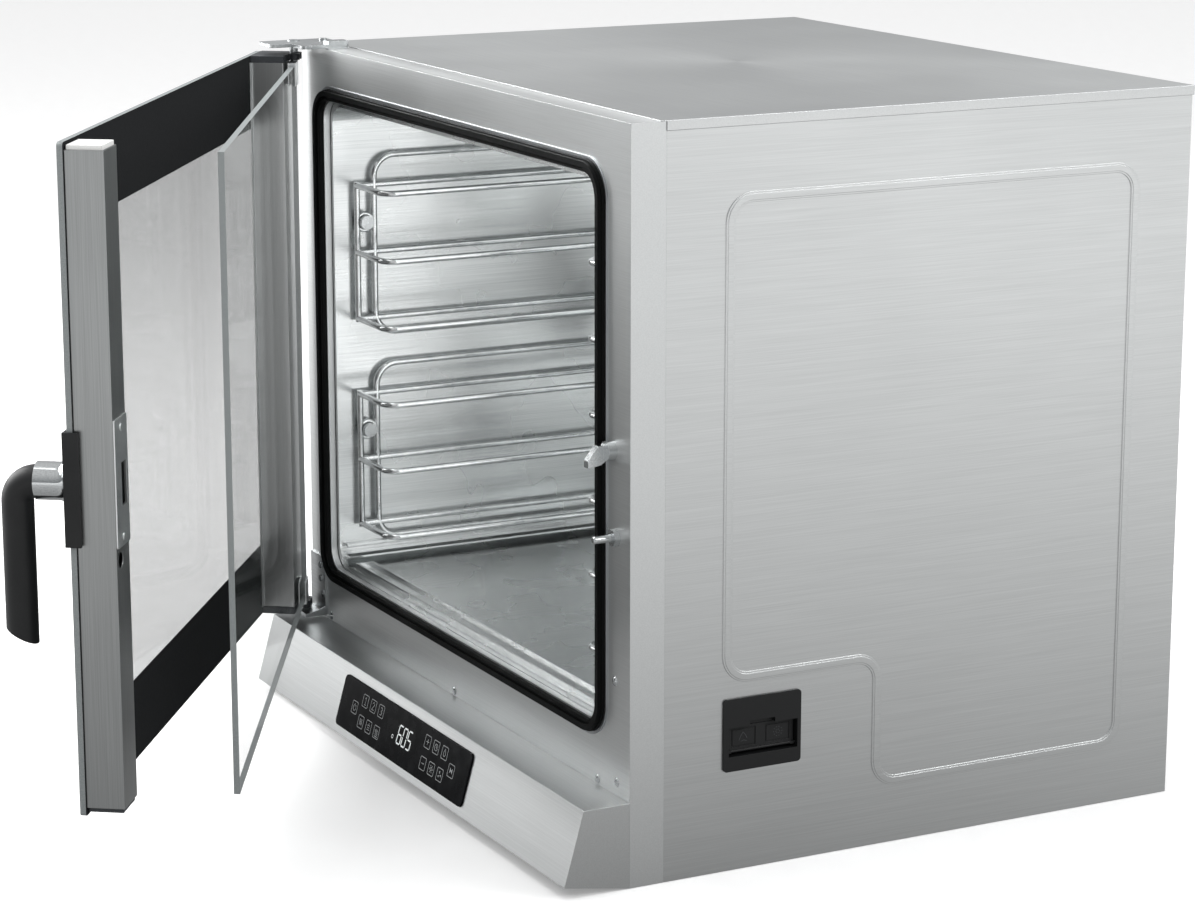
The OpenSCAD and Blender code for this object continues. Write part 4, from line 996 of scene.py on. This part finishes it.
class STEAMER_OT_inner_works(Operator):
    """Boards, motors, pipes and insulation behind the sheets"""
    bl_idname = "steamer.inner_works"
    bl_label = "Inner works"

    def execute(self, context):
        pipe = turned_stainless("drawn_tube_stainless", ("#8f9293", "#b4b7b8"), (0.26, 0.42))
        finish_nodes(pipe, "pipe_steel", "drain_pipe", "exhaust_pipe", "vent_damper")
        finish_nodes(mineral_wool(), "mineral_wool", "insulation")
        finish_nodes(circuit_board(), "board_green", "control_board", "power_board")
        finish_nodes(hammered_enamel("motor_enamel", ("#54585b", "#6c7073")), "motor_paint",
                     "fan_motor", "damper_motor")
        finish_nodes(sintered_bronze(), "pipe_steel", "shaft_seal")
        finish_nodes(moulded_polyamide("grey_polyamide", ("#3f4245", "#55585b")),
                     "black_plastic", "switchgear")
        finish_nodes(moulded_polyamide("gland_polyamide", ("#232527", "#323436")),
                     "black_plastic", "cable_gland", "cooling_fan", "cooling_wheel")
        finish_nodes(moulded_polyamide("pale_polyamide", ("#cfd0cc", "#e0e1dd")),
                     "light_plastic", "water_valve")
        return {"FINISHED"}


class STEAMER_OT_stage(Operator):
    """Pale floor, soft studio light and the camera"""
    bl_idname = "steamer.stage"
    bl_label = "Stage"

    # name, place, what it faces (None is the steamer's middle), side in metres and share of
    # the lamp power; the fascia over the door and the console under it mirror the first two
    SOFTBOXES = (
        ("front_fill", (-2.6, -2.3, 0.85), (0.2, 0.0, 0.3), 1.7, 0.17),
        ("over_door", (-2.3, -1.4, 1.75), (0.3, 0.0, 0.6), 1.2, 0.33),
        ("key_light", (-2.6, -3.4, 3.4), None, 2.6, 1.0),
        ("side_light", (3.6, 3.0, 2.6), None, 2.2, 0.5),
        ("top_light", (0.2, 0.2, 4.2), None, 3.0, 0.4),
    )
    # how far the floor lies under the steamer, so that the two share no plane
    FLOOR_DROP = 0.5 * MM
    # the room's wall turns from grey to white between these heights of the sky's unit ball
    WALL_FOOT, WALL_TOP = -0.05, 0.75
    # the chamber's lights: their sides, gaps to the wall and the roof, the roof light's share
    GLOW_SIDE, GLOW_TALL = 0.4, 0.5
    GLOW_IN, GLOW_DOWN, ROOF_SHARE = 24 * MM, 60 * MM, 0.3
    SENSOR_MM, FAR_CLIP = 36.0, 200.0

    def execute(self, context):
        sizes = context.scene.steamer_stage
        self.floor(sizes)
        self.room(context.scene, sizes)
        middle_point = (CAD_BOX[0] + CAD_BOX[1]) / 2
        for name, place, target, side, share in self.SOFTBOXES:
            self.softbox(name, place, target or middle_point, side, sizes.lamp_power * share)
        self.chamber_light(sizes)
        self.camera(context.scene, sizes)
        context.scene.view_settings.view_transform = "Standard"
        return {"FINISHED"}

    def floor(self, sizes):
        """A flat sheet under the steamer."""
        mesh = bmesh.new()
        bmesh.ops.create_grid(mesh, x_segments=12, y_segments=12, size=sizes.floor_size / 2)
        data = bpy.data.meshes.new("floor")
        mesh.to_mesh(data)
        mesh.free()
        data.materials.append(seamless_backdrop())
        floor = bpy.data.objects.new("floor", data)
        floor.location.z = CAD_BOX[0].z - self.FLOOR_DROP
        bpy.context.scene.collection.objects.link(floor)

    def room(self, scene, sizes):
        """Pale room: white ceiling, and walls that grow greyer to the horizon."""
        world = bpy.data.worlds.new("pale_room")
        scene.world = world
        world.use_nodes = True
        tree = world.node_tree
        tree.nodes.clear()
        direction = add(tree, "ShaderNodeTexCoord").outputs["Generated"]
        parts = add(tree, "ShaderNodeSeparateXYZ", {"Vector": direction})
        height = add(tree, "ShaderNodeMapRange",
                     {"Value": parts.outputs["Z"], "From Min": self.WALL_FOOT,
                      "From Max": self.WALL_TOP})
        wall = add(tree, "ShaderNodeMix", {0: height.outputs["Result"], 6: linear("#9c9ea0"),
                                           7: linear("#ffffff")}, data_type="RGBA")
        light = add(tree, "ShaderNodeBackground",
                    {"Color": wall.outputs[2], "Strength": sizes.sky})
        add(tree, "ShaderNodeOutputWorld", {"Surface": light.outputs["Background"]})

    def softbox(self, name, place, target, side, power):
        """A square soft light that faces a point."""
        data = bpy.data.lights.new(name, "AREA")
        data.size = side
        data.energy = power
        lamp = bpy.data.objects.new(name, data)
        lamp.location = place
        aim = Vector(target) - Vector(place)
        lamp.rotation_euler = aim.to_track_quat("-Z", "Y").to_euler()
        bpy.context.scene.collection.objects.link(lamp)
        return lamp

    def chamber_light(self, sizes):
        """Two soft sheets of light inside the chamber, as its own lamp would fill it."""
        low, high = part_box("chamber_liner")
        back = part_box("fan_baffle")[0].y
        centre = Vector(((low.x + high.x) / 2, back * 0.5, (low.z + high.z) / 2))
        side = self.softbox("chamber_side_light", (high.x - self.GLOW_IN, centre.y, centre.z),
                            (low.x, centre.y, centre.z), self.GLOW_SIDE, sizes.chamber_power)
        side.data.shape = "RECTANGLE"
        side.data.size_y = self.GLOW_TALL
        roof = self.softbox("chamber_roof_light",
                            (centre.x, centre.y, high.z - self.GLOW_DOWN),
                            (centre.x, centre.y, low.z), self.GLOW_SIDE,
                            sizes.chamber_power * self.ROOF_SHARE)
        side.visible_camera = roof.visible_camera = False

    def camera(self, scene, sizes):
        """The camera, without roll or lens shift."""
        data = bpy.data.cameras.new("camera")
        data.lens = sizes.focal_length
        data.sensor_width = self.SENSOR_MM
        data.clip_end = self.FAR_CLIP
        camera = bpy.data.objects.new("camera", data)
        back = Vector((math.sin(sizes.azimuth) * math.cos(sizes.elevation),
                       -math.cos(sizes.azimuth) * math.cos(sizes.elevation),
                       math.sin(sizes.elevation)))
        camera.location = sizes.stand
        camera.rotation_euler = back.to_track_quat("Z", "Y").to_euler()
        scene.collection.objects.link(camera)
        scene.camera = camera


class STEAMER_PT_panel(Panel):
    """Lists the steamer's pieces in the sidebar"""
    bl_label = "Combi steamer"
    bl_idname = "STEAMER_PT_panel"
    bl_space_type = "VIEW_3D"
    bl_region_type = "UI"
    bl_category = "Steamer"

    def draw(self, context):
        scene = context.scene
        for group in (scene.steamer_finishes, scene.steamer_symbols, scene.steamer_stage):
            box = self.layout.box()
            for name in group.__annotations__:
                box.prop(group, name)
        for step in STEPS:
            self.layout.operator(step.bl_idname)


GROUPS = {
    "steamer_finishes": STEAMER_PG_finishes,
    "steamer_symbols": STEAMER_PG_symbols,
    "steamer_stage": STEAMER_PG_stage,
}
STEPS = (
    STEAMER_OT_stage,
    STEAMER_OT_casing,
    STEAMER_OT_console,
    STEAMER_OT_touch_symbols,
    STEAMER_OT_readout,
    STEAMER_OT_chamber,
    STEAMER_OT_racks,
    STEAMER_OT_seal,
    STEAMER_OT_door,
    STEAMER_OT_stile_insert,
    STEAMER_OT_handle,
    STEAMER_OT_fittings,
    STEAMER_OT_hatch,
    STEAMER_OT_hatch_marks,
    STEAMER_OT_inner_works,
)


CLASSES = (*GROUPS.values(), *STEPS, STEAMER_PT_panel)


def register():
    for kind in CLASSES:
        bpy.utils.register_class(kind)
    for name, kind in GROUPS.items():
        setattr(bpy.types.Scene, name, PointerProperty(type=kind))


def unregister():
    for name in GROUPS:
        delattr(bpy.types.Scene, name)
    for kind in reversed(CLASSES):
        bpy.utils.unregister_class(kind)


def clear_start_up():
    """Removes the start-up cube, light and camera."""
    for item in list(bpy.data.objects):
        if item.name in ("Cube", "Light", "Camera"):
            bpy.data.objects.remove(item)


def main():
    clear_start_up()
    register()
    for step in STEPS:
        group, name = step.bl_idname.split(".")
        getattr(getattr(bpy.ops, group), name)()
    bpy.context.view_layer.update()


if __name__ == "__main__":
    main()
